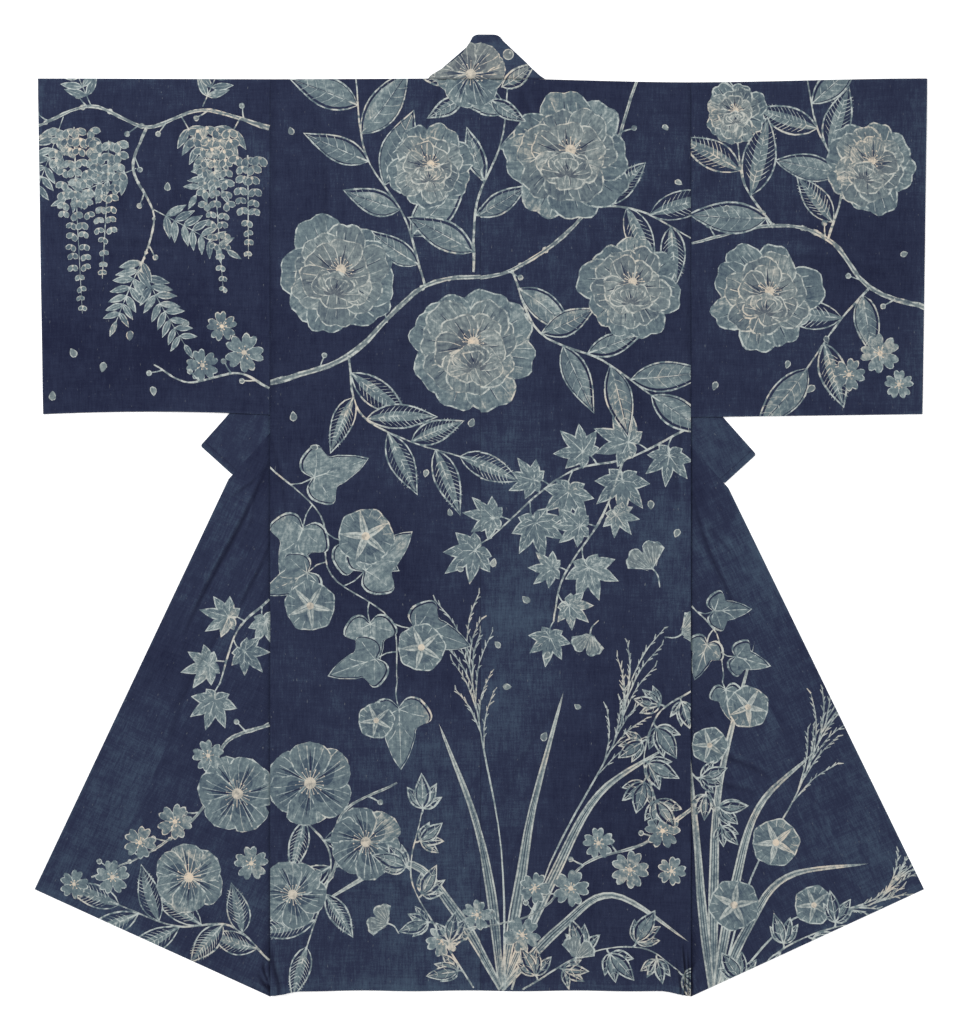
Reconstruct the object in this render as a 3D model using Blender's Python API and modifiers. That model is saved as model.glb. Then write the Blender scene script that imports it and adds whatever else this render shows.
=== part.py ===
"""Cotton yukata robe laid out flat, its back up and both fronts turned out from behind.

The frame: +Z up from the surface that the robe lies on, +Y towards the collar, +X to the
right of someone who looks down at the back. Lengths are in metres. Each half is worked
out in a half frame, whose first coordinate is the distance out from the centre back seam.

A body panel is one length of cloth, from the back hem over the shoulder to the front hem.
Its front is turned out along a slanting fold that climbs from the side of the hem to the
neck, so the lower front and the okumi lie beside the back with their outer side up.
From the floor up lie the turned-out fronts with the collar's ends, the rest of the fronts
and the sleeves' front layers, and then the back, the sleeves' back layers and the neck.
"""

import math

import bmesh
import bpy
from mathutils import Vector

# Cloth
CLOTH_WALL = 0.0010
COLLAR_WALL = 0.0013
LAYER_STEP = 0.0016
SEAM_GAP = 0.0003
BEND = LAYER_STEP / 2
HALF_TURN = math.pi * BEND / 2

# Body
SHOULDER_Y = 0.6300
BACK_LENGTH = 1.3130
BACK_HALF_WIDTH = 0.3024
FRONT_DROP = 0.0090
NECK_HALF_WIDTH = 0.0640
OKUMI_WIDTH = 0.0840
OKUMI_POINT_START = 0.0080
SAG_DEPTH = 0.250

# Collar
COLLAR_WIDTH = 0.0620
COLLAR_BOW = 0.0178
COLLAR_RISE = 0.0530
COLLAR_END_INSET = 0.0080
NECK_FOLD_INSET = 0.0030
FOLD_SLACK = 0.0008
FOLD_SLACK_REACH = 0.020

# Sleeves
SLEEVE_DEPTH = 0.4830
WRIST_OPENING = 0.2300
SLEEVE_EDGE_BEVEL = 0.0006

# How softly the upper layers come down beside what they lie on
LIFT_MARGIN = 0.015
LIFT_FALL = 0.120
CENTRE_MARGIN = 0.004
CENTRE_FALL = 0.110

# The two halves. edge_turn is the angle of the turned-out front edge from the centre
# seam, and hem_turn that of the front hem from the back hem, in degrees. The shoulder
# sags at the sleeve seam, and a sleeve's lower edge bows up or hangs low by the body.
SIDES = {
    "left": {
        "sign": -1,
        "edge_turn": 25.3,
        "hem_turn": 24.5,
        "hem_width": 0.3730,
        "edge_length": 0.6530,
        "sleeve_at_top": 0.3346,
        "sleeve_at_bottom": 0.3270,
        "shoulder_sag": 0.0010,
        "sleeve_bow": 0.0040,
        "sleeve_low": 0.0010,
    },
    "right": {
        "sign": 1,
        "edge_turn": 26.0,
        "hem_turn": 24.7,
        "hem_width": 0.3700,
        "edge_length": 0.6430,
        "sleeve_at_top": 0.3406,
        "sleeve_at_bottom": 0.3336,
        "shoulder_sag": 0.0055,
        "sleeve_bow": 0.0000,
        "sleeve_low": 0.0045,
    },
}

# The neck of the collar above its seam, and how far it reaches from the centre each way
NECK_SECTIONS = (
    {"height": 0.0003, "left": 0.0756, "right": 0.0930},
    {"height": 0.0040, "left": 0.0720, "right": 0.0850},
    {"height": 0.0140, "left": 0.0550, "right": 0.0740},
    {"height": 0.0250, "left": 0.0400, "right": 0.0630},
    {"height": 0.0370, "left": 0.0250, "right": 0.0500},
    {"height": 0.0540, "left": 0.0140, "right": 0.0320},
    {"height": 0.0626, "left": 0.0108, "right": 0.0266},
)
NECK_FOLD_ENDS = (1, 5)

# The largest creases, pressed into the turned-out okumi as ridges that run down and out
# from where they start. The angle is from the centre seam, in degrees.
CREASES = {
    "left": {"out": 0.308, "y": 0.056, "angle": 31.0, "length": 0.170, "height": 0.0022},
    "right": {"out": 0.308, "y": 0.036, "angle": 19.0, "length": 0.150, "height": 0.0014},
}
CREASE_HALF_WIDTH = 0.011

# Columns and rows of each sheet's grid
NECK_PANEL_COLUMNS = 3
PANEL_COLUMNS = 8
BACK_ROWS = 34
FRONT_UPPER_ROWS = 9
FRONT_LOWER_ROWS = 20
BEND_STEPS = 4
FOLD_STEPS = 5
OKUMI_COLUMNS = 3
OKUMI_POINT_ROWS = 12
OKUMI_LOWER_ROWS = 16
COLLAR_COLUMNS = 3
COLLAR_RISE_ROWS = 4
COLLAR_ROWS = 26
NECK_COLUMNS = 12
SLEEVE_COLUMNS = 9
SLEEVE_ROWS = 12
SNAP = 0.0001

INDIGO = (0.030, 0.040, 0.085, 1.0)
WORN_INDIGO = (0.045, 0.065, 0.095, 1.0)


def ease(share):
    """1 at 0 and below, 0 at 1 and above, and level at both ends."""
    share = min(max(share, 0.0), 1.0)
    return 1.0 - share * share * (3.0 - 2.0 * share)


def mix(start, end, share):
    return start + (end - start) * share


def bend(distance):
    """How far out and how far down cloth lies that turns back under itself at 0."""
    along = distance + HALF_TURN
    if along <= 0:
        return distance, 0.0
    if along >= 2 * HALF_TURN:
        return -distance, LAYER_STEP
    angle = along / BEND
    return BEND * math.sin(angle) - HALF_TURN, BEND * (1 - math.cos(angle))


class Half:
    """The lines of one half of the robe, in its half frame."""

    def __init__(self, name):
        self.name = name
        self.sizes = SIDES[name]
        self.sign = self.sizes["sign"]
        edge_turn = math.radians(self.sizes["edge_turn"])
        slant = edge_turn - math.radians(self.sizes["hem_turn"])
        hem_width = self.sizes["hem_width"]
        side_length = BACK_LENGTH + FRONT_DROP
        self.hem_slope = math.tan(slant)
        self.corner = Vector((BACK_HALF_WIDTH, SHOULDER_Y - side_length))
        self.fold_normal = Vector((-math.cos(edge_turn / 2), -math.sin(edge_turn / 2)))
        self.front_edge = BACK_HALF_WIDTH - hem_width * math.cos(slant)
        self.okumi_seam = self.front_edge + OKUMI_WIDTH
        edge_drop = side_length + hem_width * math.sin(slant)
        self.collar_length = edge_drop - self.sizes["edge_length"]
        self.okumi_top = self.collar_drop_at(self.okumi_seam)
        self.lift_point, self.lift_normal = self.line_outside_collar()

    def collar_seam(self, drop):
        """How far out the collar's seam is, at this drop below the shoulder."""
        share = drop / self.collar_length
        chord = mix(NECK_HALF_WIDTH, self.front_edge, share)
        return chord + 4 * COLLAR_BOW * share * (1 - share)

    def collar_drop_at(self, out):
        """The drop at which the collar's seam is this far out."""
        squared = 4 * COLLAR_BOW
        linear = NECK_HALF_WIDTH - self.front_edge - squared
        root = math.sqrt(linear**2 + 4 * squared * (NECK_HALF_WIDTH - out))
        return self.collar_length * (root - linear) / (2 * squared)

    def hem_drop(self, out):
        """The front hem's drop below the shoulder, with the front not yet turned out."""
        return BACK_LENGTH + FRONT_DROP + (BACK_HALF_WIDTH - out) * self.hem_slope

    def past_fold(self, out, y):
        """How far a point of the front lies past the slanting fold."""
        return (Vector((out, y)) - self.corner).dot(self.fold_normal)

    def turn_out(self, out, y):
        """Where a point of the front lies once it is folded, and how far down."""
        past = self.past_fold(out, y)
        reach, down = bend(past)
        place = Vector((out, y)) + self.fold_normal * (reach - past)
        return place.x, place.y, down

    def collar_point(self, drop, across):
        """The collar's point at this drop and share of its width, not yet turned out."""
        step = 0.001
        held = max(drop, 0.0)
        seam = Vector((self.collar_seam(held), SHOULDER_Y - held))
        ahead = Vector((self.collar_seam(held + step), SHOULDER_Y - held - step))
        along = (ahead - seam).normalized()
        inwards = Vector((along.y, -along.x))
        near_fold = ease(abs(self.past_fold(seam.x, seam.y)) / FOLD_SLACK_REACH)
        inset = SEAM_GAP + FOLD_SLACK * near_fold + across * COLLAR_WIDTH
        return seam + along * (drop - held) + inwards * inset

    def line_outside_collar(self):
        """A point and the outward normal of a straight line outside the turned-out collar."""
        top = Vector((0, SHOULDER_Y - COLLAR_WIDTH / 2))
        tip = self.collar_point(self.collar_length - COLLAR_END_INSET, 1)
        tip = Vector(self.turn_out(tip.x, tip.y)[:2])
        along = (tip - top).normalized()
        return tip, Vector((-along.y, along.x))

    def lift(self, out, y):
        """How far the front's inner layer is raised by what is folded under it."""
        outside = (Vector((out, y)) - self.lift_point).dot(self.lift_normal)
        return LAYER_STEP * ease((outside - LIFT_MARGIN) / LIFT_FALL)

    def back_height(self, out, y):
        """The underside of the back, which comes down to the floor in the middle."""
        past = self.past_fold(out, y)
        raised = self.lift(out, y) + LAYER_STEP
        return raised * ease((past - CENTRE_MARGIN) / CENTRE_FALL)

    def sag(self, out, y):
        """How far the cloth by the shoulder line has slipped down."""
        if out < BACK_HALF_WIDTH:
            share = 1 - out / BACK_HALF_WIDTH
        else:
            share = (out - BACK_HALF_WIDTH) / self.sizes["sleeve_at_top"]
        depth = (SHOULDER_Y - y) / SAG_DEPTH
        return self.sizes["shoulder_sag"] * ease(share) * ease(depth)

    def front_place(self, out, y, wall):
        """A point of the flat front once it is laid out, in the robe's frame."""
        out, y, down = self.turn_out(out, y)
        height = LAYER_STEP - down if down else self.lift(out, y)
        return self.place(out, y, height, wall)

    def place(self, out, y, height, wall):
        return Vector((self.sign * out, y - self.sag(out, y), height + wall / 2))


def grid(columns, rows, place, is_cut_away=None):
    """A sheet of faces, its points placed by column and row."""
    bm = bmesh.new()
    bmesh.ops.create_grid(bm, x_segments=columns, y_segments=rows, size=0.5)
    for vert in bm.verts:
        vert.co.x = round((vert.co.x + 0.5) * columns)
        vert.co.y = round((vert.co.y + 0.5) * rows)
    if is_cut_away:
        cut = [face for face in bm.faces if is_cut_away(*face.calc_center_median().xy)]
        bmesh.ops.delete(bm, geom=cut, context="FACES")
    for vert in bm.verts:
        vert.co = place(round(vert.co.x), round(vert.co.y))
    return bm


def score(bm, faces, point, normal, trims=False):
    """Adds a straight line of edges across these faces, or trims what lies outside it."""
    edges = {edge for face in faces for edge in face.edges}
    verts = {vert for face in faces for vert in face.verts}
    bmesh.ops.bisect_plane(
        bm,
        geom=list(verts) + list(edges) + list(faces),
        dist=SNAP,
        plane_co=(point.x, point.y, 0),
        plane_no=(normal.x, normal.y, 0),
        clear_outer=trims,
    )


def score_fold(bm, half):
    """Adds the lines along which the front bends round the slanting fold."""
    for step in range(FOLD_STEPS + 1):
        offset = mix(-HALF_TURN, HALF_TURN, step / FOLD_STEPS)
        front = [face for face in bm.faces if face.calc_center_median().y < SHOULDER_Y]
        score(bm, front, half.corner + half.fold_normal * offset, half.fold_normal)


def make_object(name, bm, wall, colour):
    """Makes the sheet an object with a wall of cloth and a material of its own."""
    bmesh.ops.recalc_face_normals(bm, faces=bm.faces)
    mesh = bpy.data.meshes.new(name)
    bm.to_mesh(mesh)
    bm.free()
    mesh.shade_smooth()
    piece = bpy.data.objects.new(name, mesh)
    robe.objects.link(piece)
    solid = piece.modifiers.new("wall", "SOLIDIFY")
    solid.thickness = wall
    solid.offset = 0
    solid.use_quality_normals = True
    material = bpy.data.materials.new(name)
    material.use_nodes = True
    shader = material.node_tree.nodes["Principled BSDF"]
    shader.inputs["Base Color"].default_value = colour
    shader.inputs["Roughness"].default_value = 0.9
    mesh.materials.append(material)
    return piece


def make_panel(half):
    """A body panel, cut flat with its back above the shoulder line, then folded."""

    def cut(column, row):
        beside_neck = max(column - NECK_PANEL_COLUMNS, 0) / PANEL_COLUMNS
        if row <= BACK_ROWS + BEND_STEPS:
            out = mix(NECK_HALF_WIDTH, BACK_HALF_WIDTH, beside_neck)
            if column < NECK_PANEL_COLUMNS:
                out = mix(SEAM_GAP / 2, NECK_HALF_WIDTH, column / NECK_PANEL_COLUMNS)
            if row <= BACK_ROWS:
                drop = mix(-BACK_LENGTH, -HALF_TURN, row / BACK_ROWS)
            else:
                drop = mix(-HALF_TURN, HALF_TURN, (row - BACK_ROWS) / BEND_STEPS)
            return out, SHOULDER_Y - drop, 0
        row -= BACK_ROWS + BEND_STEPS
        if row <= FRONT_UPPER_ROWS:
            drop = mix(HALF_TURN, half.okumi_top, row / FRONT_UPPER_ROWS)
            out = mix(half.collar_seam(drop), BACK_HALF_WIDTH, beside_neck)
            return out, SHOULDER_Y - drop, 0
        out = mix(half.okumi_seam, BACK_HALF_WIDTH, beside_neck)
        share = (row - FRONT_UPPER_ROWS) / FRONT_LOWER_ROWS
        return out, SHOULDER_Y - mix(half.okumi_top, half.hem_drop(out), share), 0

    def is_neck(column, row):
        return column < NECK_PANEL_COLUMNS and row > BACK_ROWS

    columns = NECK_PANEL_COLUMNS + PANEL_COLUMNS
    rows = BACK_ROWS + BEND_STEPS + FRONT_UPPER_ROWS + FRONT_LOWER_ROWS
    bm = grid(columns, rows, cut, is_neck)
    score_fold(bm, half)
    for vert in bm.verts:
        out, flat_y = vert.co.xy
        reach, down = bend(SHOULDER_Y - flat_y)
        if down >= LAYER_STEP:
            vert.co = half.front_place(out, flat_y, CLOTH_WALL)
        elif down > 0:
            y = SHOULDER_Y + reach
            height = half.lift(out, y) + LAYER_STEP - down
            vert.co = half.place(out, y, height, CLOTH_WALL)
        else:
            y = SHOULDER_Y + reach
            vert.co = half.place(out, y, half.back_height(out, y), CLOTH_WALL)
    return make_object("panel_" + half.name, bm, CLOTH_WALL, INDIGO)


def crease_height(crease, out, y):
    """The height of a ridge at this place, which fades to both ends and both sides."""
    angle = math.radians(crease["angle"])
    from_start = Vector((out - crease["out"], y - crease["y"]))
    along = from_start.dot(Vector((math.sin(angle), -math.cos(angle)))) / crease["length"]
    across = from_start.dot(Vector((math.cos(angle), math.sin(angle))))
    if not 0 < along < 1:
        return 0
    return crease["height"] * math.sin(math.pi * along) * ease(abs(across) / CREASE_HALF_WIDTH)


def score_crease(bm, crease):
    """Adds the lines that let the sheet rise along a ridge."""
    angle = math.radians(crease["angle"])
    start = Vector((crease["out"], crease["y"]))
    down = Vector((math.sin(angle), -math.cos(angle)))
    aside = Vector((math.cos(angle), math.sin(angle)))
    middle = start + down * crease["length"] / 2
    for offset in (-CREASE_HALF_WIDTH, 0, CREASE_HALF_WIDTH):
        near = [
            face
            for face in bm.faces
            if (face.calc_center_median().xy - middle).length < crease["length"] * 0.6
        ]
        score(bm, near, start + aside * offset, aside)


def make_okumi(half):
    """The narrow panel between the front and its edge, pointed on top, all turned out."""

    def laid(column, row):
        inner = half.okumi_seam - SEAM_GAP
        if row <= OKUMI_POINT_ROWS:
            point = half.okumi_top + OKUMI_POINT_START
            drop = mix(point, half.collar_length, row / OKUMI_POINT_ROWS)
            out = mix(inner, half.collar_seam(drop), column / OKUMI_COLUMNS)
        else:
            out = mix(inner, half.front_edge, column / OKUMI_COLUMNS)
            share = (row - OKUMI_POINT_ROWS) / OKUMI_LOWER_ROWS
            drop = mix(half.collar_length, half.hem_drop(out), share)
        x, y, _ = half.turn_out(out, SHOULDER_Y - drop)
        return x, y, 0

    crease = CREASES[half.name]
    bm = grid(OKUMI_COLUMNS, OKUMI_POINT_ROWS + OKUMI_LOWER_ROWS, laid)
    score_crease(bm, crease)
    for vert in bm.verts:
        out, y = vert.co.xy
        vert.co = half.place(out, y, crease_height(crease, out, y), CLOTH_WALL)
    return make_object("okumi_" + half.name, bm, CLOTH_WALL, INDIGO)


def make_collar_end(half):
    """One end of the collar, from its fold at the neck down to where the okumi begins."""

    def flat(column, row):
        if row <= COLLAR_RISE_ROWS:
            drop = mix(-COLLAR_RISE, 0, row / COLLAR_RISE_ROWS)
        else:
            end = half.collar_length - COLLAR_END_INSET
            drop = mix(0, end, (row - COLLAR_RISE_ROWS) / COLLAR_ROWS)
        return half.collar_point(drop, column / COLLAR_COLUMNS).to_3d()

    bm = grid(COLLAR_COLUMNS, COLLAR_RISE_ROWS + COLLAR_ROWS, flat)
    low, high = (
        Vector((NECK_SECTIONS[row][half.name], SHOULDER_Y + NECK_SECTIONS[row]["height"]))
        for row in NECK_FOLD_ENDS
    )
    along = (high - low).normalized()
    outwards = Vector((along.y, -along.x))
    score(bm, list(bm.faces), low - outwards * NECK_FOLD_INSET, outwards, trims=True)
    score_fold(bm, half)
    for vert in bm.verts:
        out, y = vert.co.xy
        vert.co = half.front_place(out, y, COLLAR_WALL)
    return make_object("collar_" + half.name, bm, COLLAR_WALL, WORN_INDIGO)


def make_neck(left, right):
    """The middle of the collar, which stands above the back along the neck seam."""

    def place(column, row):
        section = NECK_SECTIONS[row]
        x = mix(-section["left"], section["right"], column / NECK_COLUMNS)
        y = SHOULDER_Y + section["height"]
        half = right if x > 0 else left
        height = half.lift(abs(x), y) + LAYER_STEP
        return Vector((x, y, height + COLLAR_WALL / 2))

    bm = grid(NECK_COLUMNS, len(NECK_SECTIONS) - 1, place)
    return make_object("collar_neck", bm, COLLAR_WALL, WORN_INDIGO)


def make_sleeve(half):
    """A flat tube, folded on top, open to the body and, above its sewn part, to the wrist."""

    def front_layer(column, row):
        return Vector((column / SLEEVE_COLUMNS, row / SLEEVE_ROWS, 0))

    def is_open(face):
        centre = face.calc_center_median()
        above_seam = centre.y < WRIST_OPENING / SLEEVE_DEPTH
        is_side = abs(face.normal.x) > 0.5
        return is_side and (centre.x < 0.5 or above_seam)

    sizes = half.sizes
    bm = grid(SLEEVE_COLUMNS, SLEEVE_ROWS, front_layer)
    raised = bmesh.ops.extrude_face_region(bm, geom=list(bm.faces))["geom"]
    for vert in (item for item in raised if isinstance(item, bmesh.types.BMVert)):
        vert.co.z = 1
    bm.normal_update()
    bmesh.ops.delete(bm, geom=[face for face in bm.faces if is_open(face)], context="FACES")
    for vert in bm.verts:
        across, down, layer = vert.co
        width = mix(sizes["sleeve_at_top"], sizes["sleeve_at_bottom"], down)
        low = sizes["sleeve_low"] * (1 - across)
        bow = sizes["sleeve_bow"] * 4 * across * (1 - across)
        out = BACK_HALF_WIDTH + SEAM_GAP + width * across
        y = SHOULDER_Y - BEND / 2 - (SLEEVE_DEPTH + low - bow) * down
        height = half.lift(out, y) + LAYER_STEP * layer
        vert.co = half.place(out, y, height, CLOTH_WALL)
    sleeve = make_object("sleeve_" + half.name, bm, CLOTH_WALL, INDIGO)
    rounding = sleeve.modifiers.new("folded edges", "BEVEL")
    rounding.width = SLEEVE_EDGE_BEVEL
    rounding.segments = 2
    rounding.limit_method = "ANGLE"
    rounding.angle_limit = math.radians(60)
    sleeve.modifiers.move(1, 0)
    return sleeve


for old in list(bpy.data.objects):
    bpy.data.objects.remove(old)
robe = bpy.data.collections.new("yukata_robe")
bpy.context.scene.collection.children.link(robe)

halves = {name: Half(name) for name in SIDES}
for one_half in halves.values():
    make_panel(one_half)
    make_okumi(one_half)
    make_sleeve(one_half)
    make_collar_end(one_half)
make_neck(halves["left"], halves["right"])
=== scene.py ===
"""Looks of the cotton yukata robe: indigo cotton with a resist-dyed pattern, laid out flat.

Lengths are in metres, in the frame of the CAD model: +Z up from the surface that the robe
lies on, +Y towards the collar, +X to the right of someone who looks down at its back.
Each cloth is cut out flat, with the pattern's shapes as faces of its mesh, and then laid
out as the robe lies. Each half of the robe is worked out in a half frame, whose first
coordinate is the distance out from the centre back seam.
"""

import math
import random
from collections import namedtuple

import bpy
import numpy as np
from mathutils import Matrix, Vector
from mathutils.geometry import delaunay_2d_cdt


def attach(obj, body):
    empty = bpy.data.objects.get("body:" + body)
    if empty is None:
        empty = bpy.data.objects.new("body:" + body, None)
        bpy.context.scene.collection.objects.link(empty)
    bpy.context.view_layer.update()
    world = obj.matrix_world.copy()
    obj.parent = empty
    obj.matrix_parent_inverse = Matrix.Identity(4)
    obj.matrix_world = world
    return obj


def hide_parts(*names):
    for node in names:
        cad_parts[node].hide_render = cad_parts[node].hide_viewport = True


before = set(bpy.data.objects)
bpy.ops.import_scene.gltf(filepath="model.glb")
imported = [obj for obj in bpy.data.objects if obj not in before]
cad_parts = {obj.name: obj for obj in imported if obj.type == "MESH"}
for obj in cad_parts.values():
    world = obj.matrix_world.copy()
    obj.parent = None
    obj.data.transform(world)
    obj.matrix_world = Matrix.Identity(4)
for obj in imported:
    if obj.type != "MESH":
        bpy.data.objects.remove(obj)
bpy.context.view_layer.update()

# Sizes that the CAD model has too
CLOTH_WALL = 0.0010
COLLAR_WALL = 0.0013
LAYER_STEP = 0.0016
SEAM_GAP = 0.0003
BEND = LAYER_STEP / 2
HALF_TURN = math.pi * BEND / 2
SHOULDER_Y = 0.6300
BACK_LENGTH = 1.3130
BACK_HALF_WIDTH = 0.3024
FRONT_DROP = 0.0090
NECK_HALF_WIDTH = 0.0640
OKUMI_WIDTH = 0.0840
OKUMI_POINT_START = 0.0080
SAG_DEPTH = 0.250
COLLAR_WIDTH = 0.0620
COLLAR_BOW = 0.0178
COLLAR_RISE = 0.0530
COLLAR_END_INSET = 0.0080
FOLD_SLACK = 0.0008
FOLD_SLACK_REACH = 0.020
SLEEVE_DEPTH = 0.4830
WRIST_OPENING = 0.2300
LIFT_MARGIN = 0.015
LIFT_FALL = 0.120
CENTRE_MARGIN = 0.004
CENTRE_FALL = 0.110
Side = namedtuple(
    "Side",
    "sign edge_turn hem_turn hem_width edge_length"
    " sleeve_at_top sleeve_at_bottom shoulder_sag sleeve_bow sleeve_low",
)
SIDES = {
    "left": Side(-1, 25.3, 24.5, 0.3730, 0.6530, 0.3346, 0.3270, 0.0010, 0.0040, 0.0010),
    "right": Side(1, 26.0, 24.7, 0.3700, 0.6430, 0.3406, 0.3336, 0.0055, 0.0000, 0.0045),
}
Section = namedtuple("Section", "height left right")
NECK_SECTIONS = (
    Section(0.0003, 0.0756, 0.0930),
    Section(0.0040, 0.0720, 0.0850),
    Section(0.0140, 0.0550, 0.0740),
    Section(0.0250, 0.0400, 0.0630),
    Section(0.0370, 0.0250, 0.0500),
    Section(0.0540, 0.0140, 0.0320),
    Section(0.0626, 0.0108, 0.0266),
)
NECK_FOLD_ENDS = (1, 5)
NECK_FOLD_INSET = 0.0030

# The cloth as it is seen: thinner than its solid, in the middle of it
CLOTH_THICKNESS = 0.0006
COLLAR_THICKNESS = 0.0010
HEM_WIDTH = 0.0090
HEM_LINE = 0.0006
SEAM_ROLL = 0.0016
SEAM_DIP = 0.0004
SEAM_LINES = (0.0004, 0.0010, SEAM_ROLL, 0.004)
CREASE_SHADE = 0.0018
HEM_FADE = 0.6
COLLAR_STITCH_INSET = 0.0086
HEM_CORNER_DIP = 0.0074
HEM_CORNER_REACH = 0.046
HEM_WAVE = 0.0006
HEM_DIP_FALL = 0.110
PATTERN_STEP = 0.0008
NECK_LAP = 0.0012
COLLAR_LAP = 0.0009
NECK_CORNER_RADIUS = 0.008
COLLAR_CORNER_RADIUS = 0.004
FOLD_CLEARANCE = 0.003

# How finely the cloth is cut up
GRID_STEP = 0.011
WING_GRID_STEP = 0.010
HIDDEN_GRID_STEP = 0.022
EDGE_STEP = 0.010
FOLD_STEPS = 4
OUTLINE_TOLERANCE = 0.00018
HIDDEN_TOLERANCE = 0.0008
THINNING = 0.00007
THINNING_ROUNDS = 14
NORMAL_STEP = 0.0002
ON_LINE = 1e-6
TINY = 1e-9

# How much dye each paint of the pattern holds back, and how wide its lines are
GROUND = 0.0
DEEP = 0.30
WASH = 0.55
PALE = 0.80
UNBROKEN = 0.84
LINE = 1.0
LINE_WIDTH = 0.0023
LEAST_WIDTH = 0.00015
ROUGHNESS = 0.00017


def ease(share):
    """1 at 0 and below, 0 at 1 and above, and level at both ends."""
    share = np.clip(share, 0.0, 1.0)
    return 1.0 - share * share * (3.0 - 2.0 * share)


def mix(start, end, share):
    return start + (end - start) * share


def bend(distance):
    """How far out and how far down cloth lies that turns back under itself at 0."""
    angle = np.clip(distance + HALF_TURN, 0, 2 * HALF_TURN) / BEND
    turning = BEND * np.sin(angle) - HALF_TURN
    reach = np.where(distance >= HALF_TURN, -distance, turning)
    return np.where(distance <= -HALF_TURN, distance, reach), BEND * (1 - np.cos(angle))


class Half:
    """The lines of one half of the robe, in its half frame. Points are pairs of arrays."""

    def __init__(self, name):
        self.name = name
        self.sizes = SIDES[name]
        self.sign = self.sizes.sign
        edge_turn = math.radians(self.sizes.edge_turn)
        slant = edge_turn - math.radians(self.sizes.hem_turn)
        hem_width = self.sizes.hem_width
        side_length = BACK_LENGTH + FRONT_DROP
        self.hem_slope = math.tan(slant)
        self.corner = Vector((BACK_HALF_WIDTH, SHOULDER_Y - side_length))
        self.fold_normal = Vector((-math.cos(edge_turn / 2), -math.sin(edge_turn / 2)))
        self.front_edge = BACK_HALF_WIDTH - hem_width * math.cos(slant)
        self.okumi_seam = self.front_edge + OKUMI_WIDTH
        edge_drop = side_length + hem_width * math.sin(slant)
        self.collar_length = edge_drop - self.sizes.edge_length
        self.okumi_top = self.collar_drop_at(self.okumi_seam)
        self.lift_point, self.lift_normal = self.line_outside_collar()

    def collar_seam(self, drop):
        """How far out the collar's seam is, at this drop below the shoulder."""
        share = drop / self.collar_length
        chord = mix(NECK_HALF_WIDTH, self.front_edge, share)
        return chord + 4 * COLLAR_BOW * share * (1 - share)

    def collar_drop_at(self, out):
        """The drop at which the collar's seam is this far out."""
        squared = 4 * COLLAR_BOW
        linear = NECK_HALF_WIDTH - self.front_edge - squared
        root = math.sqrt(linear**2 + 4 * squared * (NECK_HALF_WIDTH - out))
        return self.collar_length * (root - linear) / (2 * squared)

    def hem_drop(self, out):
        """The front hem's drop below the shoulder, with the front not yet turned out."""
        return BACK_LENGTH + FRONT_DROP + (BACK_HALF_WIDTH - out) * self.hem_slope

    def on_hem(self, out, y):
        """1 on the doubled cloth of the front's hem, 0 above it."""
        return ease((self.hem_drop(out) - (SHOULDER_Y - y) - HEM_WIDTH) / HEM_LINE)

    def past_fold(self, out, y):
        """How far a point of the front lies past the slanting fold."""
        across = (out - self.corner.x) * self.fold_normal.x
        return across + (y - self.corner.y) * self.fold_normal.y

    def turn_out(self, out, y):
        """Where a point of the front lies once it is folded, and how far down."""
        past = self.past_fold(out, y)
        reach, down = bend(past)
        shift = reach - past
        return out + self.fold_normal.x * shift, y + self.fold_normal.y * shift, down

    def mirror(self, out, y):
        """The point on the other side of the slanting fold."""
        past = self.past_fold(out, y)
        return out - 2 * past * self.fold_normal.x, y - 2 * past * self.fold_normal.y

    def collar_point(self, drop, across):
        """The collar's point at this drop and share of its width, not yet turned out."""
        step = 0.001
        held = max(drop, 0.0)
        seam = Vector((self.collar_seam(held), SHOULDER_Y - held))
        ahead = Vector((self.collar_seam(held + step), SHOULDER_Y - held - step))
        along = (ahead - seam).normalized()
        inwards = Vector((along.y, -along.x))
        near_fold = ease(abs(self.past_fold(seam.x, seam.y)) / FOLD_SLACK_REACH)
        inset = SEAM_GAP + FOLD_SLACK * float(near_fold) + across * COLLAR_WIDTH
        return seam + along * (drop - held) + inwards * inset

    def line_outside_collar(self):
        """A point and the outward normal of a straight line outside the turned-out collar."""
        top = Vector((0, SHOULDER_Y - COLLAR_WIDTH / 2))
        tip = self.collar_point(self.collar_length - COLLAR_END_INSET, 1)
        tip = Vector([float(value) for value in self.turn_out(tip.x, tip.y)[:2]])
        along = (tip - top).normalized()
        return tip, Vector((-along.y, along.x))

    def lift(self, out, y):
        """How far the front's inner layer is raised by what is folded under it."""
        outside = (out - self.lift_point.x) * self.lift_normal.x
        outside = outside + (y - self.lift_point.y) * self.lift_normal.y
        return LAYER_STEP * ease((outside - LIFT_MARGIN) / LIFT_FALL)

    def back_height(self, out, y):
        """The underside of the back, which comes down to the floor in the middle."""
        past = self.past_fold(out, y)
        raised = self.lift(out, y) + LAYER_STEP
        return raised * ease((past - CENTRE_MARGIN) / CENTRE_FALL)

    def hem_dip(self, out, flat_y):
        """How far the back's hem hangs lower than straight, most of all by its corner."""
        from_hem = SHOULDER_Y + BACK_LENGTH - flat_y
        corner = HEM_CORNER_DIP * ease((BACK_HALF_WIDTH - out) / HEM_CORNER_REACH)
        wave = HEM_WAVE * (1 - np.cos(out * 41 + self.sign * 0.7))
        return (corner + wave) * ease(from_hem / HEM_DIP_FALL)

    def sag(self, out, y):
        """How far the cloth by the shoulder line has slipped down."""
        beyond = (out - BACK_HALF_WIDTH) / self.sizes.sleeve_at_top
        share = np.where(out < BACK_HALF_WIDTH, 1 - out / BACK_HALF_WIDTH, beyond)
        depth = (SHOULDER_Y - y) / SAG_DEPTH
        return self.sizes.shoulder_sag * ease(share) * ease(depth)


halves = {name: Half(name) for name in SIDES}


# --- Creases and soft unevenness ------------------------------------------------------

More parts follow.
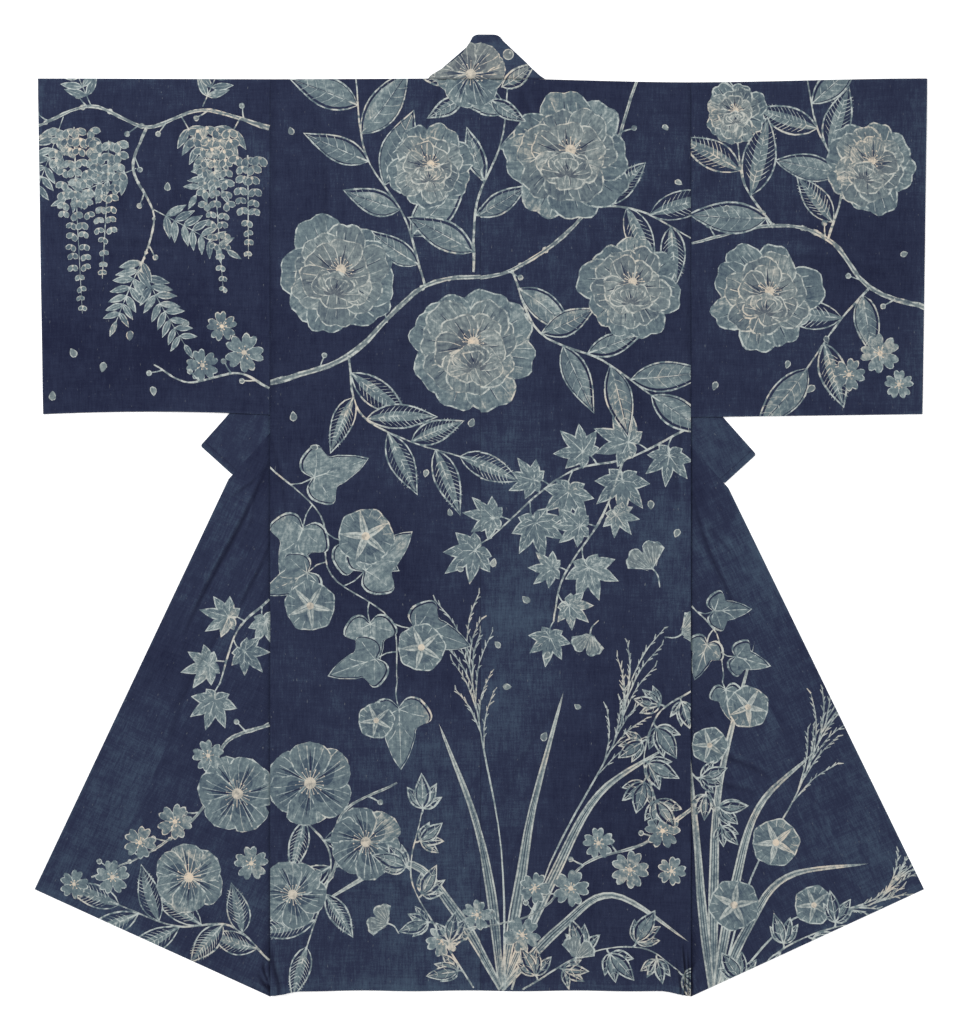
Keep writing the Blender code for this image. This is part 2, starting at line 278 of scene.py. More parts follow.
# Each runs from its start, at an angle from straight down, towards +X if positive. A
# crease is a ridge with a trough beside it. Its trough is this share of its height deep,
# on the side that its half width's sign says.
Crease = namedtuple("Crease", "x y angle length height half_width trough")
CREASES = {
    "wings": (
        Crease(-0.306, 0.086, -25, 0.29, 0.0021, -0.0074, 0.85),
        Crease(-0.304, -0.030, -22, 0.13, 0.0012, -0.0064, 0.8),
        Crease(-0.312, 0.070, -46, 0.070, 0.0009, -0.0055, 0.8),
        Crease(-0.326, 0.028, -14, 0.080, 0.0007, -0.0055, 0.7),
        Crease(-0.352, -0.120, -24, 0.24, 0.0012, 0.014, 0.5),
        Crease(0.306, 0.040, 19, 0.20, 0.0014, 0.0090, 0.7),
        Crease(0.318, 0.016, 32, 0.10, 0.0009, 0.009, 0.5),
        Crease(0.322, -0.315, 56, 0.12, 0.0014, 0.011, 0.6),
        Crease(0.312, -0.360, 64, 0.10, 0.0012, 0.010, 0.5),
        Crease(-0.309, -0.640, 6, 0.046, 0.0026, 0.006, 1.0),
        Crease(-0.318, -0.655, 38, 0.050, 0.0026, 0.008, 0.7),
        Crease(0.312, -0.640, -12, 0.050, 0.0022, 0.007, 0.8),
    ),
    "top": (
        Crease(-0.296, 0.150, 6, 0.16, 0.0014, 0.010, 0.4),
        Crease(0.297, 0.140, -5, 0.15, 0.0012, 0.010, 0.4),
        Crease(-0.232, 0.600, 4, 0.34, 0.0009, 0.016, 0.5),
        Crease(0.225, 0.590, -7, 0.30, 0.0008, 0.017, 0.4),
        Crease(0.062, 0.625, 10, 0.14, 0.0011, 0.010, 0.5),
        Crease(-0.058, 0.625, -12, 0.12, 0.0010, 0.009, 0.5),
        Crease(-0.620, 0.420, 82, 0.30, 0.0008, 0.016, 0.4),
        Crease(0.370, 0.385, 84, 0.24, 0.0008, 0.016, 0.4),
        Crease(-0.293, -0.615, 2, 0.085, 0.0024, 0.009, 0.7),
        Crease(0.2975, -0.620, -1, 0.090, 0.0022, -0.0034, 0.9),
        Crease(0.2905, -0.610, 1, 0.096, 0.0024, -0.0036, 0.9),
        Crease(0.2820, -0.635, 3, 0.070, 0.0014, -0.0040, 0.8),
        Crease(-0.180, -0.430, 40, 0.22, 0.0008, 0.018, 0.4),
        Crease(0.150, -0.240, -34, 0.26, 0.0008, 0.018, 0.4),
    ),
}
# The heading in degrees, wavelength, height and phase of each soft wave
WAVES = (
    (8, 0.310, 0.00050, 0.4),
    (97, 0.230, 0.00042, 1.9),
    (38, 0.128, 0.00026, 3.1),
    (141, 0.093, 0.00022, 5.0),
    (72, 0.061, 0.00013, 0.9),
)
# Lighter where the dye has lost colour, and darker where the amount is negative. The two
# darker patches at x -0.316 and 0.314, below the collar ends, are painted shade where the
# cloth bunches. Each has the x and y of its middle, its reach both ways, the amount, and the
# sign of x that it keeps to or 0
FADES_AND_SHADE = (
    (0.055, -0.110, 0.070, 0.19, 0.80, 1),
    (0.030, -0.400, 0.060, 0.20, 0.35, 1),
    (-0.095, -0.420, 0.100, 0.13, 0.80, -1),
    (-0.060, -0.620, 0.110, 0.11, 0.65, -1),
    (-0.145, -0.110, 0.110, 0.16, -0.80, -1),
    (0.230, -0.360, 0.120, 0.18, -0.85, 1),
    (0.244, 0.240, 0.090, 0.08, -0.60, 1),
    (-0.040, 0.480, 0.060, 0.12, 0.35, 0),
    (-0.220, 0.590, 0.200, 0.05, -0.45, 0),
    (0.200, 0.590, 0.200, 0.05, -0.35, 0),
    (-0.505, 0.240, 0.190, 0.09, -0.65, 0),
    (-0.470, 0.370, 0.220, 0.26, -0.62, 0),
    (-0.345, 0.480, 0.050, 0.12, 0.55, 0),
    (-0.152, 0.270, 0.110, 0.07, -0.80, 0),
    (-0.110, -0.020, 0.080, 0.06, -0.50, 0),
    (0.240, -0.030, 0.100, 0.07, 0.65, 0),
    (0.237, -0.570, 0.110, 0.13, -0.60, 0),
    (-0.160, -0.550, 0.150, 0.09, 0.30, 0),
    (0.000, 0.165, 0.450, 0.05, -0.40, 0),
    (0.370, -0.520, 0.060, 0.12, -0.45, 0),
    (-0.350, 0.100, 0.060, 0.05, -0.60, 0),
    (0.042, 0.655, 0.030, 0.02, 0.40, 0),
    (0.008, 0.690, 0.030, 0.01, -0.90, 0),
    (-0.080, -0.200, 0.160, 0.035, -0.50, 0),
    (-0.090, -0.315, 0.110, 0.040, 0.40, 0),
    (0.285, -0.070, 0.040, 0.06, 0.35, 0),
    (0.520, 0.380, 0.140, 0.09, -0.55, 0),
    (-0.640, 0.430, 0.014, 0.20, 0.30, 0),
    (-0.600, 0.280, 0.060, 0.07, -0.40, 0),
    (0.640, 0.270, 0.024, 0.18, 0.40, 0),
    (-0.540, -0.480, 0.110, 0.10, 0.60, 0),
    (-0.375, -0.040, 0.020, 0.09, 0.30, 0),
    # painted shade below the two collar ends, where the cloth bunches
    (-0.316, 0.040, 0.018, 0.055, -1.00, 0),
    (0.314, 0.040, 0.014, 0.050, -0.60, 0),
    (-0.455, -0.190, 0.050, 0.07, -0.45, 0),
    (0.410, -0.090, 0.050, 0.13, 0.75, 0),
    (0.560, -0.440, 0.100, 0.11, 0.65, 0),
    (0.345, -0.210, 0.040, 0.10, -0.45, 0),
)


def wander(crease, along):
    """How far a crease strays from its straight line, in half widths."""
    return 0.5 * np.sin(along * 5.2 + crease.x * 40)


def creased(layer, x, y):
    """The height that the creases add to a layer."""
    total = np.zeros_like(x)
    for crease in CREASES[layer]:
        angle = math.radians(crease.angle)
        from_x, from_y = x - crease.x, y - crease.y
        along = (from_x * math.sin(angle) - from_y * math.cos(angle)) / crease.length
        across = (from_x * math.cos(angle) + from_y * math.sin(angle)) / crease.half_width
        across = across + wander(crease, along)
        fade = np.sin(np.pi * np.clip(along, 0, 1)) ** 0.7
        ridge = np.exp(-(((across - 0.35) / 0.42) ** 2))
        trough = crease.trough * np.exp(-(((across + 0.35) / 0.42) ** 2))
        total += crease.height * fade * (ridge - trough)
    return total


def relief(layer, x, y):
    """The height that creases and soft waves add to a layer."""
    total = creased(layer, x, y)
    for heading, wavelength, height, phase in WAVES:
        travel = x * math.cos(math.radians(heading)) + y * math.sin(math.radians(heading))
        total += height * (1 + np.sin(2 * math.pi * travel / wavelength + phase)) / 2
    return total


def shading(layer, x, y):
    """How far a point is up on a crease's ridge, or down in its trough if negative."""
    return np.clip(creased(layer, x, y) / CREASE_SHADE, -1, 1)


def fade_and_shade(x, y):
    """How much paler the dye is at a point; negative where darker, with painted shade by the collar
    ends.
    """
    total = np.zeros_like(x)
    for at_x, at_y, reach_x, reach_y, amount, side in FADES_AND_SHADE:
        here = np.where(x * side < 0, 0, 1)
        dx, dy = (x - at_x) / reach_x, (y - at_y) / reach_y
        total += amount * here * np.exp(-(dx**2) - dy**2)
    return total


# --- Drawing the pattern --------------------------------------------------------------


def shape(points, resist, warm=0.0, base=(0.0, 0.0), tip=(0.0, 0.1), fine=False):
    """One painted shape. Its paint streaks run from its base to its tip."""
    points, axis = np.array(points, float), np.array((base, tip), float)
    return {"points": points, "resist": resist, "warm": warm, "axis": axis, "fine": fine}


def changed(shapes, change):
    """The shapes with all their points changed. change takes and gives rows of points."""
    return [dict(one, points=change(one["points"]), axis=change(one["axis"])) for one in shapes]


def stamp(shapes, x=0.0, y=0.0, turn=0.0):
    """The shapes turned and moved to a place. A turn is in degrees, to the left."""
    sine, cosine = math.sin(math.radians(turn)), math.cos(math.radians(turn))
    matrix = np.array(((cosine, sine), (-sine, cosine)))
    return changed(shapes, lambda points: points @ matrix + (x, y))


def simplified(outline, tolerance):
    """A closed outline without the points that a straighter course can do without."""
    closed = np.vstack((outline, outline[:1]))
    farthest = int(np.argmax(((outline - outline[0]) ** 2).sum(1)))
    kept = {0, farthest}
    spans = [(0, farthest), (farthest, len(outline))]
    while spans:
        first, last = spans.pop()
        if last - first < 2:
            continue
        chord = closed[last] - closed[first]
        between = closed[first + 1 : last] - closed[first]
        across = np.abs(between[:, 0] * chord[1] - between[:, 1] * chord[0])
        away = across / max(math.hypot(*chord), TINY)
        worst = int(np.argmax(away))
        if away[worst] > tolerance:
            middle = first + 1 + worst
            kept.add(middle)
            spans += [(first, middle), (middle, last)]
    return outline[sorted(kept)] if len(kept) > 2 else outline


def roughen(shapes, seed):
    """The shapes with each point moved a little, as a hand that squeezes out paste does."""
    draw = np.random.default_rng(seed)
    for one in shapes:
        points = simplified(one["points"], OUTLINE_TOLERANCE)
        one["points"] = points + draw.normal(0, ROUGHNESS, points.shape)
    return shapes


def curve_through(points, steps=8):
    """Points along a smooth curve through these points."""
    knots = np.array(points, float)
    knots = np.vstack((2 * knots[0] - knots[1], knots, 2 * knots[-1] - knots[-2]))
    share = np.linspace(0, 1, steps, endpoint=False)[:, None]
    spans = []
    for before, start, end, after in zip(knots, knots[1:], knots[2:], knots[3:]):
        squared = (2 * before - 5 * start + 4 * end - after) * share**2
        cubed = (3 * start - before - 3 * end + after) * share**3
        spans.append(0.5 * (2 * start + (end - before) * share + squared + cubed))
    return np.vstack(spans + [knots[-2]])


def along_curve(curve, share):
    """The point at this share of a curve's length, and its heading in degrees from +Y."""
    steps = np.linalg.norm(np.diff(curve, axis=0), axis=1)
    reached = np.concatenate(((0,), np.cumsum(steps)))
    distance = share * reached[-1]
    index = min(int(np.searchsorted(reached, distance, "right")) - 1, len(steps) - 1)
    start, end = curve[index], curve[index + 1]
    dx, dy = end - start
    part = (distance - reached[index]) / steps[index]
    return start + (end - start) * part, math.degrees(math.atan2(-dx, dy))


def band(curve, near, far):
    """The outline between two distances to the left of a curve, each one per point."""
    ahead = np.gradient(curve, axis=0)
    ahead /= np.maximum(np.linalg.norm(ahead, axis=1), TINY)[:, None]
    aside = np.stack((-ahead[:, 1], ahead[:, 0]), 1)
    return np.vstack((curve + aside * near[:, None], (curve + aside * far[:, None])[::-1]))


def stroke(
    points, width, end_width, resist=LINE, warm=0.0, rng=None, knots=0.0, fine=False, steps=5
):
    """A brush stroke along a smooth curve, uneven by the share that knots gives."""
    spine = curve_through(points, steps)
    left = np.linspace(width, end_width, len(spine))
    right = left.copy()
    if rng:
        left *= [1 + knots * rng.uniform(-1, 1) for _ in left]
        right *= [1 + knots * rng.uniform(-1, 1) for _ in right]
    outline = band(spine, left / 2, -right / 2)
    return shape(outline, resist, warm, spine[0], spine[-1] + 1e-5, fine)


def hair(points, width, end_width, resist=LINE, warm=0.0, steps=2):
    """A stroke so fine that a hidden layer does without it."""
    return stroke(points, width, end_width, resist, warm, fine=True, steps=steps)


def polar(reach, turn):
    """The point at this distance from the centre, at an angle from +Y."""
    return reach * math.sin(turn), reach * math.cos(turn)


def disc(radius_at, count, x=0.0, y=0.0):
    """A closed outline round a centre. radius_at is its radius, or gives it from an angle."""
    turns = np.linspace(0, 2 * math.pi, count, endpoint=False)
    radius = radius_at(turns) if callable(radius_at) else np.full(count, radius_at)
    return np.stack((x + radius * np.sin(turns), y + radius * np.cos(turns)), 1)


def blade(
    length, width, widest, fullness, bow=0.0, inset=0.0, side=0, gap=0.0, waves=0.0, steps=10
):
    """A leaf's or petal's outline from (0, 0) up to its tip, or one side of it."""
    start = inset / length
    share = np.linspace(start, 1 - 1.3 * start, steps + 1)
    half = width / 2 * np.sin(np.pi * share**widest) ** fullness
    half = np.maximum(half * (1 + waves * np.sin(share * 17)) - inset, LEAST_WIDTH)
    middle = bow * length * share**2
    rise = length * share
    if side:
        edge = middle + side * np.maximum(half, gap + 0.0001)
        other = middle + side * gap
    else:
        edge, other = middle + half, middle - half
    return np.vstack((np.stack((edge, rise), 1), np.stack((other, rise), 1)[::-1]))


def inlaid(outline, line, resist, tip=(0.0, 0.1), warm=0.0, edge=LINE, edge_warm=0.0):
    """A form and its paler edge, this wide. outline gives its points from an inset, or is
    a dict of a blade's sizes."""
    draw = outline if callable(outline) else lambda inset: blade(**outline, inset=inset)
    return [shape(draw(0), edge, edge_warm, tip=tip), shape(draw(line), resist, warm, tip=tip)]


def blade_sizes(length, width, widest, fullness, **more):
    return dict(length=length, width=width, widest=widest, fullness=fullness, **more)


# --- Motifs, each from its base or about its centre -----------------------------------


def leaf(rng, length, width, ribs=5, ribbed=False):
    """A pointed leaf: filled, or ribbed with its ground left dark."""
    widest, fullness = rng.uniform(0.74, 0.9), rng.uniform(0.85, 1.05)
    bow = 0.12 * rng.uniform(-1, 1)
    line = LINE_WIDTH * rng.uniform(0.8, 1.15)
    form = blade_sizes(length, width, widest, fullness, bow=bow)
    top = (bow * length, length)
    shapes = inlaid(form, line, GROUND, top)
    lit = rng.choice((-1, 1))
    for side in (-1, 1):
        if ribbed:
            narrow = dict(form, width=width * 0.42)
            lobe, paint = blade(**narrow, inset=0.0004, side=side, gap=0.0006), WASH
        else:
            paint = WASH * rng.uniform(0.85, 1.15)
            lobe = blade(**form, inset=line * (1.6 if side == lit else 2.5), side=side, gap=0.0011)
        shapes.append(shape(lobe, paint, tip=top))
    pairs = ribs * 2 if ribbed else ribs
    rib_width, rib_paint, rib_reach = (0.0013, LINE, 0.86) if ribbed else (0.0010, PALE, 0.74)
    for number in range(pairs):
        share = mix(0.14, 0.80, (number + 0.5) / pairs)
        reach = width / 2 * math.sin(math.pi * share**widest) ** fullness * rib_reach
        end_share = min(share + reach / length * 0.85, 0.97)
        for side in (-1, 1):
            start = (bow * length * share**2, length * share)
            end = (bow * length * end_share**2 + side * reach, length * end_share)
            middle = (mix(start[0], end[0], 0.55), mix(start[1], end[1], 0.42))
            shapes.append(hair((start, middle, end), rib_width, 0.0005, rib_paint))
    rib = [(bow * length * share**2, length * share) for share in (0.0, 0.2, 0.5, 0.93)]
    shapes.append(stroke(rib, 0.0024, 0.0007, steps=3))
    return shapes


def broad_leaf(rng, size, ribbed=False):
    return leaf(rng, size, size * rng.uniform(0.36, 0.44), ribbed=ribbed)


def ribbed_leaf(rng, size):
    return broad_leaf(rng, size, ribbed=True)


def narrow_leaf(rng, size):
    return leaf(rng, size, 0.034, ribbed=True)


def either_leaf(rng, size):
    return leaf(rng, size, size * 0.42, ribbed=rng.random() < 0.5)


def petal(rng, length, width, veins=4):
    """One petal of a camellia."""
    bow = rng.uniform(-0.14, 0.14)
    form = blade_sizes(length, width, 1.5, 0.48, bow=bow, waves=rng.uniform(-0.09, 0.09))
    top = (bow * length, length)
    line = LINE_WIDTH * rng.uniform(0.65, 1.1)
    paint = WASH * rng.uniform(0.84, 1.14)
    shapes = inlaid(form, line, paint, top, edge=LINE * rng.uniform(0.86, 1.0))
    deep = blade(length * 0.66, width * 0.52, 1.5 * 0.8, 0.9, bow * 0.8, inset=0.0004, steps=6)
    shapes.append(shape(deep, paint * 0.62, tip=top))
    for number in range(veins):
        lean = mix(-0.5, 0.5, (number + rng.uniform(0.3, 0.7)) / veins) * width * 0.66
        middle = (bow * length * 0.36 + lean * 0.9, length * 0.62)
        end = (bow * length * 0.72 + lean * 1.15, length * rng.uniform(0.74, 0.92))
        base = (lean * 0.3, length * rng.uniform(0.16, 0.34))
        shapes.append(hair((base, middle, end), 0.0007, 0.0013, PALE, steps=3))
    middle = (bow * length * 0.3 + 0.001, length * 0.5)
    crease = ((0, length * 0.22), middle, (bow * length * 0.7, length * 0.80))
    shapes.append(stroke(crease, 0.0026, 0.0006, GROUND, steps=3))
    return shapes


def stamens(rng, radius, count, warm=0.9):
    """Short pale threads round a centre, each with a round head."""
    shapes = [shape(disc(radius * 0.42, 10), PALE, warm, tip=(0, radius))]
    for number in range(count):
        turn = 2 * math.pi * (number + rng.uniform(-0.2, 0.2)) / count
        end = polar(radius * rng.uniform(0.75, 1.1), turn)
        shapes.append(hair(((0, 0), end), 0.0009, 0.0006, LINE, warm))
        shapes.append(shape(disc(0.0011, 6, *end), LINE, warm, fine=True))
    return shapes


def frilled(rng, length, width, scallops, warm):
    """A broad petal with a scalloped edge."""
    bow = rng.uniform(-0.10, 0.10)
    phase = rng.uniform(0, 2 * math.pi)
    shoulder = ((0.42, 0.86), (0.20, 0.52), (0.05, 0.20))

    def outline(shrink):
        points = []
        for share in np.linspace(-1, 1, 4 * scallops + 1):
            at = share * scallops * math.pi / 2 + 0.3 * math.sin(phase)
            scallop = 0.055 * abs(math.sin(at))
            sway = 0.02 * math.sin(3 * share + phase)
            rise = 1.0 - 0.34 * abs(share) ** 2.3 - 0.045 + scallop + sway
            out = 0.5 * math.sin(share * math.pi / 2) * (width - 2 * shrink)
            points.append((out + bow * length * rise**2, rise * length - shrink))
        for side, steps in ((0.5, shoulder), (-0.5, shoulder[::-1])):
            for rise, reach in steps:
                out = side * (width - 2 * shrink) * reach
                points.append((out + bow * length * rise**2, rise * length + shrink * 0.6))
        return points

    top = (bow * length, length)
    line = LINE_WIDTH * rng.uniform(0.6, 1.0)
    paint = WASH * rng.uniform(0.82, 1.14)
    shapes = inlaid(outline, line, paint, top, warm * 0.6, LINE * rng.uniform(0.9, 1.0), warm)
    deep = blade(length * 0.62, width * 0.50, 0.8, 0.9, bow, inset=0.0004, steps=6)
    shapes.append(shape(deep, paint * 0.60, warm, tip=top))
    for number in range(3):
        lean = (number - 1 + rng.uniform(-0.25, 0.25)) * width * 0.24
        high = length * rng.uniform(0.74, 0.90)
        end = (lean * 1.1 + bow * high, high)
        vein = ((lean * 0.35, length * 0.24), (lean * 0.85, length * 0.56), end)
        shapes.append(hair(vein, 0.0006, 0.0013, PALE, warm))
    end = (bow * length * 0.8 - 0.001, length * 0.84)
    crease = ((0.001, length * 0.34), (bow * length * 0.5, length * 0.6), end)
    shapes.append(stroke(crease, 0.0024, 0.0006, DEEP * 0.3, steps=2))
    return shapes


def peony(rng, radius):
    """A large full head: rounds of broad scalloped petals about a cup of small ones."""
    shapes = []
    rounds = ((8, 1.0, 0.74, 3), (7, 0.80, 0.66, 3), (6, 0.58, 0.56, 2))
    for number, (count, reach, breadth, scallops) in enumerate(rounds):
        start = rng.uniform(0, 360)
        for step in range(count):
            length = radius * reach * rng.uniform(0.88, 1.08)
            width = radius * breadth * rng.uniform(0.88, 1.14)
            one = frilled(rng, length, width, scallops, 0.10 * number)
            shapes += stamp(one, turn=start + 360 * (step + rng.uniform(-0.2, 0.2)) / count)
    shapes += stamp(stamens(rng, radius * 0.20, 16), radius * 0.05, radius * 0.10)
    lean = rng.uniform(-25, 25)
    low_x, low_y = polar(radius * 0.30, math.radians(lean))
    cup = (
        (-62, 0.42, 0.42), (62, 0.42, 0.42), (-24, 0.36, 0.44), (24, 0.36, 0.44), (0, 0.27, 0.40)
    )
    for turn, reach, breadth in cup:
        one = frilled(rng, radius * reach, radius * breadth, 2, 0.2)
        shapes += stamp(one, low_x, -low_y, lean + turn)
    return shapes


def camellia(rng, radius):
    """A round head of six overlapping petals about a ring of stamens."""
    shapes = []
    start = rng.uniform(0, 360)
    for step in range(6):
        one = petal(rng, radius * rng.uniform(0.94, 1.04), radius * 0.98)
        shapes += stamp(one, turn=start + 60 * step + rng.uniform(-5, 5))
    return shapes + stamens(rng, radius * 0.33, 18, warm=0.7)


def cherry(rng, radius):
    """A small blossom of five notched petals."""
    tenth = math.pi / 5

    def edge(turns):
        nearest = (turns + tenth) % (2 * tenth) - tenth
        notch = 0.20 * np.exp(-((nearest / 0.13) ** 2))
        return radius * (1 - 0.52 * (np.abs(nearest) / tenth) ** 3.2 - notch)

    paint = WASH * rng.uniform(0.9, 1.25)
    shapes = inlaid(lambda inset: disc(lambda turns: edge(turns) - inset, 50), 0.0018, paint)
    for step in range(5):
        end = polar(radius * 0.52, 2 * math.pi * (step + 0.5) / 5)
        shapes.append(hair(((0, 0), end), 0.0009, 0.0012, steps=1))
    return stamp(shapes + stamens(rng, radius * 0.30, 7), turn=rng.uniform(0, 72))


def glory(rng, radius):
    """A morning glory: a round trumpet with a five-rayed star."""

    def edge(turns):
        return radius * (1 + 0.035 * np.cos(5 * turns) + 0.02 * np.cos(10 * turns))

    top = (0, radius)
    shapes = inlaid(
        lambda inset: disc(lambda turns: edge(turns) - inset, 56), 0.0019, WASH * 0.95, top
    )
    shapes.append(shape(disc(lambda turns: edge(turns) * 0.66, 30), WASH * 0.78, tip=top))
    ray = shape(blade(radius * 0.94, radius * 0.27, 0.55, 0.9, steps=6), PALE, 0.1, tip=top)
    rib = hair(((0, radius * 0.1), (0, radius * 0.8)), 0.0012, 0.0006, WASH)
    for step in range(5):
        shapes += stamp([ray, rib], turn=72 * step + 36)
    for step in range(15):
        fold = ((0, radius * rng.uniform(0.6, 0.72)), (0.001, radius * 0.93))
        shapes += stamp([hair(fold, 0.0006, 0.0011, PALE)], turn=24 * step + 12)
    shapes.append(shape(disc(radius * 0.15, 12), LINE, 0.8))
    return stamp(shapes, turn=rng.uniform(0, 72))


HEART_LEAF = (
    ((0, -0.02), (0.16, -0.17), (0.36, -0.13), (0.52, 0.10), (0.50, 0.24))
    + ((0.28, 0.34), (0.24, 0.50), (0.13, 0.80), (0, 1.0))
)


def heart_leaf(rng, length):
    """A broad leaf with a cleft base and two side lobes, on its stalk."""
    lean = rng.uniform(-0.10, 0.10)

    def outline(shrink):
        right = curve_through(HEART_LEAF, 3)
        right = right * (1 - 2.1 * shrink / length) + (0, 0.9 * shrink / length)
        both = np.vstack((right, right[-2:0:-1] * (-1, 1)))
        both[:, 0] += lean * both[:, 1] ** 2
        return both * length

    line = LINE_WIDTH * 0.9
    top = (lean * length, length)
    shapes = inlaid(outline, line, GROUND, top)
    inner = outline(line * 1.7) + (0.0006, 0)
    shapes.append(shape(inner, WASH * rng.uniform(0.85, 1.15), tip=top))
    for side in (-1, 1):
        for rise, out, up in ((0.02, 0.40, 0.16), (0.22, 0.20, 0.52), (0.02, 0.24, -0.06)):
            middle = (side * out * length * 0.5, mix(rise, up, 0.62) * length)
            ends = ((0, rise * length), middle, (side * out * length, up * length))
            shapes.append(hair(ends, 0.0013, 0.0006))
    rib = ((0, 0), (lean * length * 0.25, length * 0.5), (lean * length * 0.8, length * 0.9))
    shapes.append(stroke(rib, 0.0018, 0.0006, steps=3))
    stalk = ((0, 0), (0.003, -length * 0.22), (0, -length * 0.42))
    shapes.append(stroke(stalk, 0.0016, 0.0018, steps=2))
    return stamp(shapes, 0, length * 0.42)


MAPLE_LOBES = (
    (-126, 0.50), (126, 0.50), (-84, 0.76), (84, 0.76), (-42, 0.95), (42, 0.95), (0, 1.05)
)


def maple(rng, radius):
    """A leaf of seven pointed lobes on its stalk."""
    sizes = []
    for turn, reach in MAPLE_LOBES:
        sizes.append((turn + rng.uniform(-4, 4), radius * reach * rng.uniform(0.94, 1.06)))
    paint = WASH * rng.uniform(0.85, 1.15)
    shapes = []
    for inset, resist in ((0.0, LINE), (0.0019, paint)):
        for turn, length in sizes:
            lobe = blade(length, radius * 0.40, 0.78, 1.0, inset=inset, steps=8)
            shapes += stamp([shape(lobe, resist, tip=(0, length))], turn=turn)
    for turn, length in sizes:
        middle = ((0, 0), (0.0008, length * 0.45), (0, length * 0.9))
        rib = [stroke(middle, 0.0013, 0.0005, steps=2)]
        for side in (-1, 1):
            for rise in (0.38, 0.58):
                ends = ((0, length * rise), (side * radius * 0.10, length * (rise + 0.16)))
                rib.append(hair(ends, 0.0008, 0.0004, PALE, steps=1))
        shapes += stamp(rib, turn=turn)
    stalk = ((0, 0), (0.003, -radius * 0.3), (-0.001, -radius * 0.62))
    shapes.append(stroke(stalk, 0.0015, 0.0020, steps=2))
    return stamp(shapes, 0, radius * 0.60)


def ginkgo(rng, radius):
    """A fan-shaped leaf with a cleft and spreading veins."""
    spread = math.radians(rng.uniform(52, 62))

    def outline(shrink):
        points = [(0.0, radius * 0.10 + shrink)]
        for share in np.linspace(-1, 1, 21):
            cleft = 0.34 * math.exp(-((share / 0.09) ** 2))
            edge = 1 - cleft - 0.16 * abs(share) ** 3 + 0.025 * math.cos(share * 17)
            turn = share * spread * (1 - shrink / radius * 1.4)
            points.append(polar(radius * edge - shrink, turn))
        return points

    shapes = inlaid(outline, 0.0021, WASH, (0, radius), 0.1)
    for share in np.linspace(-0.86, 0.86, 10):
        ends = [polar(radius * reach, share * spread) for reach in (0.2, 0.82)]
        shapes.append(hair(ends, 0.0006, 0.0011, PALE, steps=1))
    stalk = ((0, radius * 0.2), (0.002, -radius * 0.15), (-0.004, -radius * 0.5))
    shapes.append(stroke(stalk, 0.0024, 0.0015, steps=3))
    return shapes


def bud(rng, radius):
    """A round bud or berry with a fleck of light."""
    paint = WASH * rng.uniform(0.8, 1.3)
    shapes = inlaid(lambda inset: disc(radius - inset, 12), 0.0014, paint, warm=0.2)
    return shapes + [shape(disc(radius * 0.24, 6, radius * 0.3, radius * 0.3), LINE, fine=True)]


def raceme(rng, length, width):
    """A hanging cluster of small florets, broad on top and narrow at its end."""
    sway = rng.uniform(-0.08, 0.08) * length
    shapes = [stroke(((0, 0), (sway * 0.4, -length * 0.5), (sway, -length)), 0.0018, 0.0010)]
    rows = int(length / 0.0150)
    for row in range(rows):
        share = (row + 0.5) / rows
        reach = width / 2 * (1 - share) ** 0.75 + 0.002
        count = max(1, round(2 * reach / 0.0180))
        for column in range(count):
            lean = column - (count - 1) / 2
            x = lean * 0.0170 + rng.uniform(-0.002, 0.002) + sway * share**1.5
            y = -length * share + rng.uniform(-0.002, 0.002)
            size = mix(0.0165, 0.0085, share) * rng.uniform(0.9, 1.1)
            wing = blade_sizes(size, size * 0.72, 1.2, 0.6, steps=5)
            paint = WASH * rng.uniform(0.75, 1.3)
            one = inlaid(wing, 0.0012, paint, (0, size), edge=LINE * 0.87, edge_warm=0.12)
            floret = stamp(one, 0, size * 0.4, 144) + stamp(one, 0, size * 0.4, 216)
            floret.append(shape(disc(size * 0.16, 6, 0, size * 0.25), LINE, 0.4, fine=True))
            shapes += stamp(floret, x, y, rng.uniform(-25, 25) + 12 * lean)
    return shapes


def pinnate(rng, length, leaflet=0.034):
    """A feathered leaf of small leaflets in pairs."""
    bow = rng.uniform(-0.18, 0.18)
    spine = curve_through(((0, 0), (bow * length * 0.4, length * 0.5), (bow * length, length)))
    shapes = [stroke(spine[::4], 0.0016, 0.0009, steps=3)]
    pairs = int(length / leaflet * 2.2)
    for pair in range(pairs + 1):
        place, heading = along_curve(spine, mix(0.16, 0.999, pair / pairs))
        size = leaflet * mix(1.0, 0.72, pair / pairs)
        form = blade_sizes(size, size * 0.36, 0.8, 0.9, steps=6)
        for side in (-1, 1) if pair < pairs else (0,):
            small = inlaid(form, 0.0015, WASH * rng.uniform(0.75, 1.2), (0, size))
            small.append(hair(((0, 0), (0, size * 0.85)), 0.0009, 0.0004, steps=1))
            shapes += stamp(small, *place, heading + side * rng.uniform(48, 62))
    return shapes


def grass(points, width):
    """A long arching leaf."""
    curve = curve_through(points, 7)
    shares = np.linspace(0, 1, len(curve))
    to_tip = np.minimum(1.0, (1 - shares) ** 0.55 * 1.15)
    half = width / 2 * to_tip * np.minimum(1.0, 0.55 + shares * 2)
    inner = np.maximum(half - LINE_WIDTH * 1.12, 0.0002)
    ends = {"base": curve[0], "tip": curve[-1]}
    shapes = [shape(band(curve, -half, half), UNBROKEN, 0.1, **ends)]
    bands = ((-1, 1, GROUND), (-0.94, -0.08, WASH), (0.10, 0.86, WASH))
    for near, far, resist in bands + ((-0.60, -0.38, UNBROKEN), (0.36, 0.54, PALE)):
        shapes.append(shape(band(curve, inner * near, inner * far), resist, **ends))
    return shapes


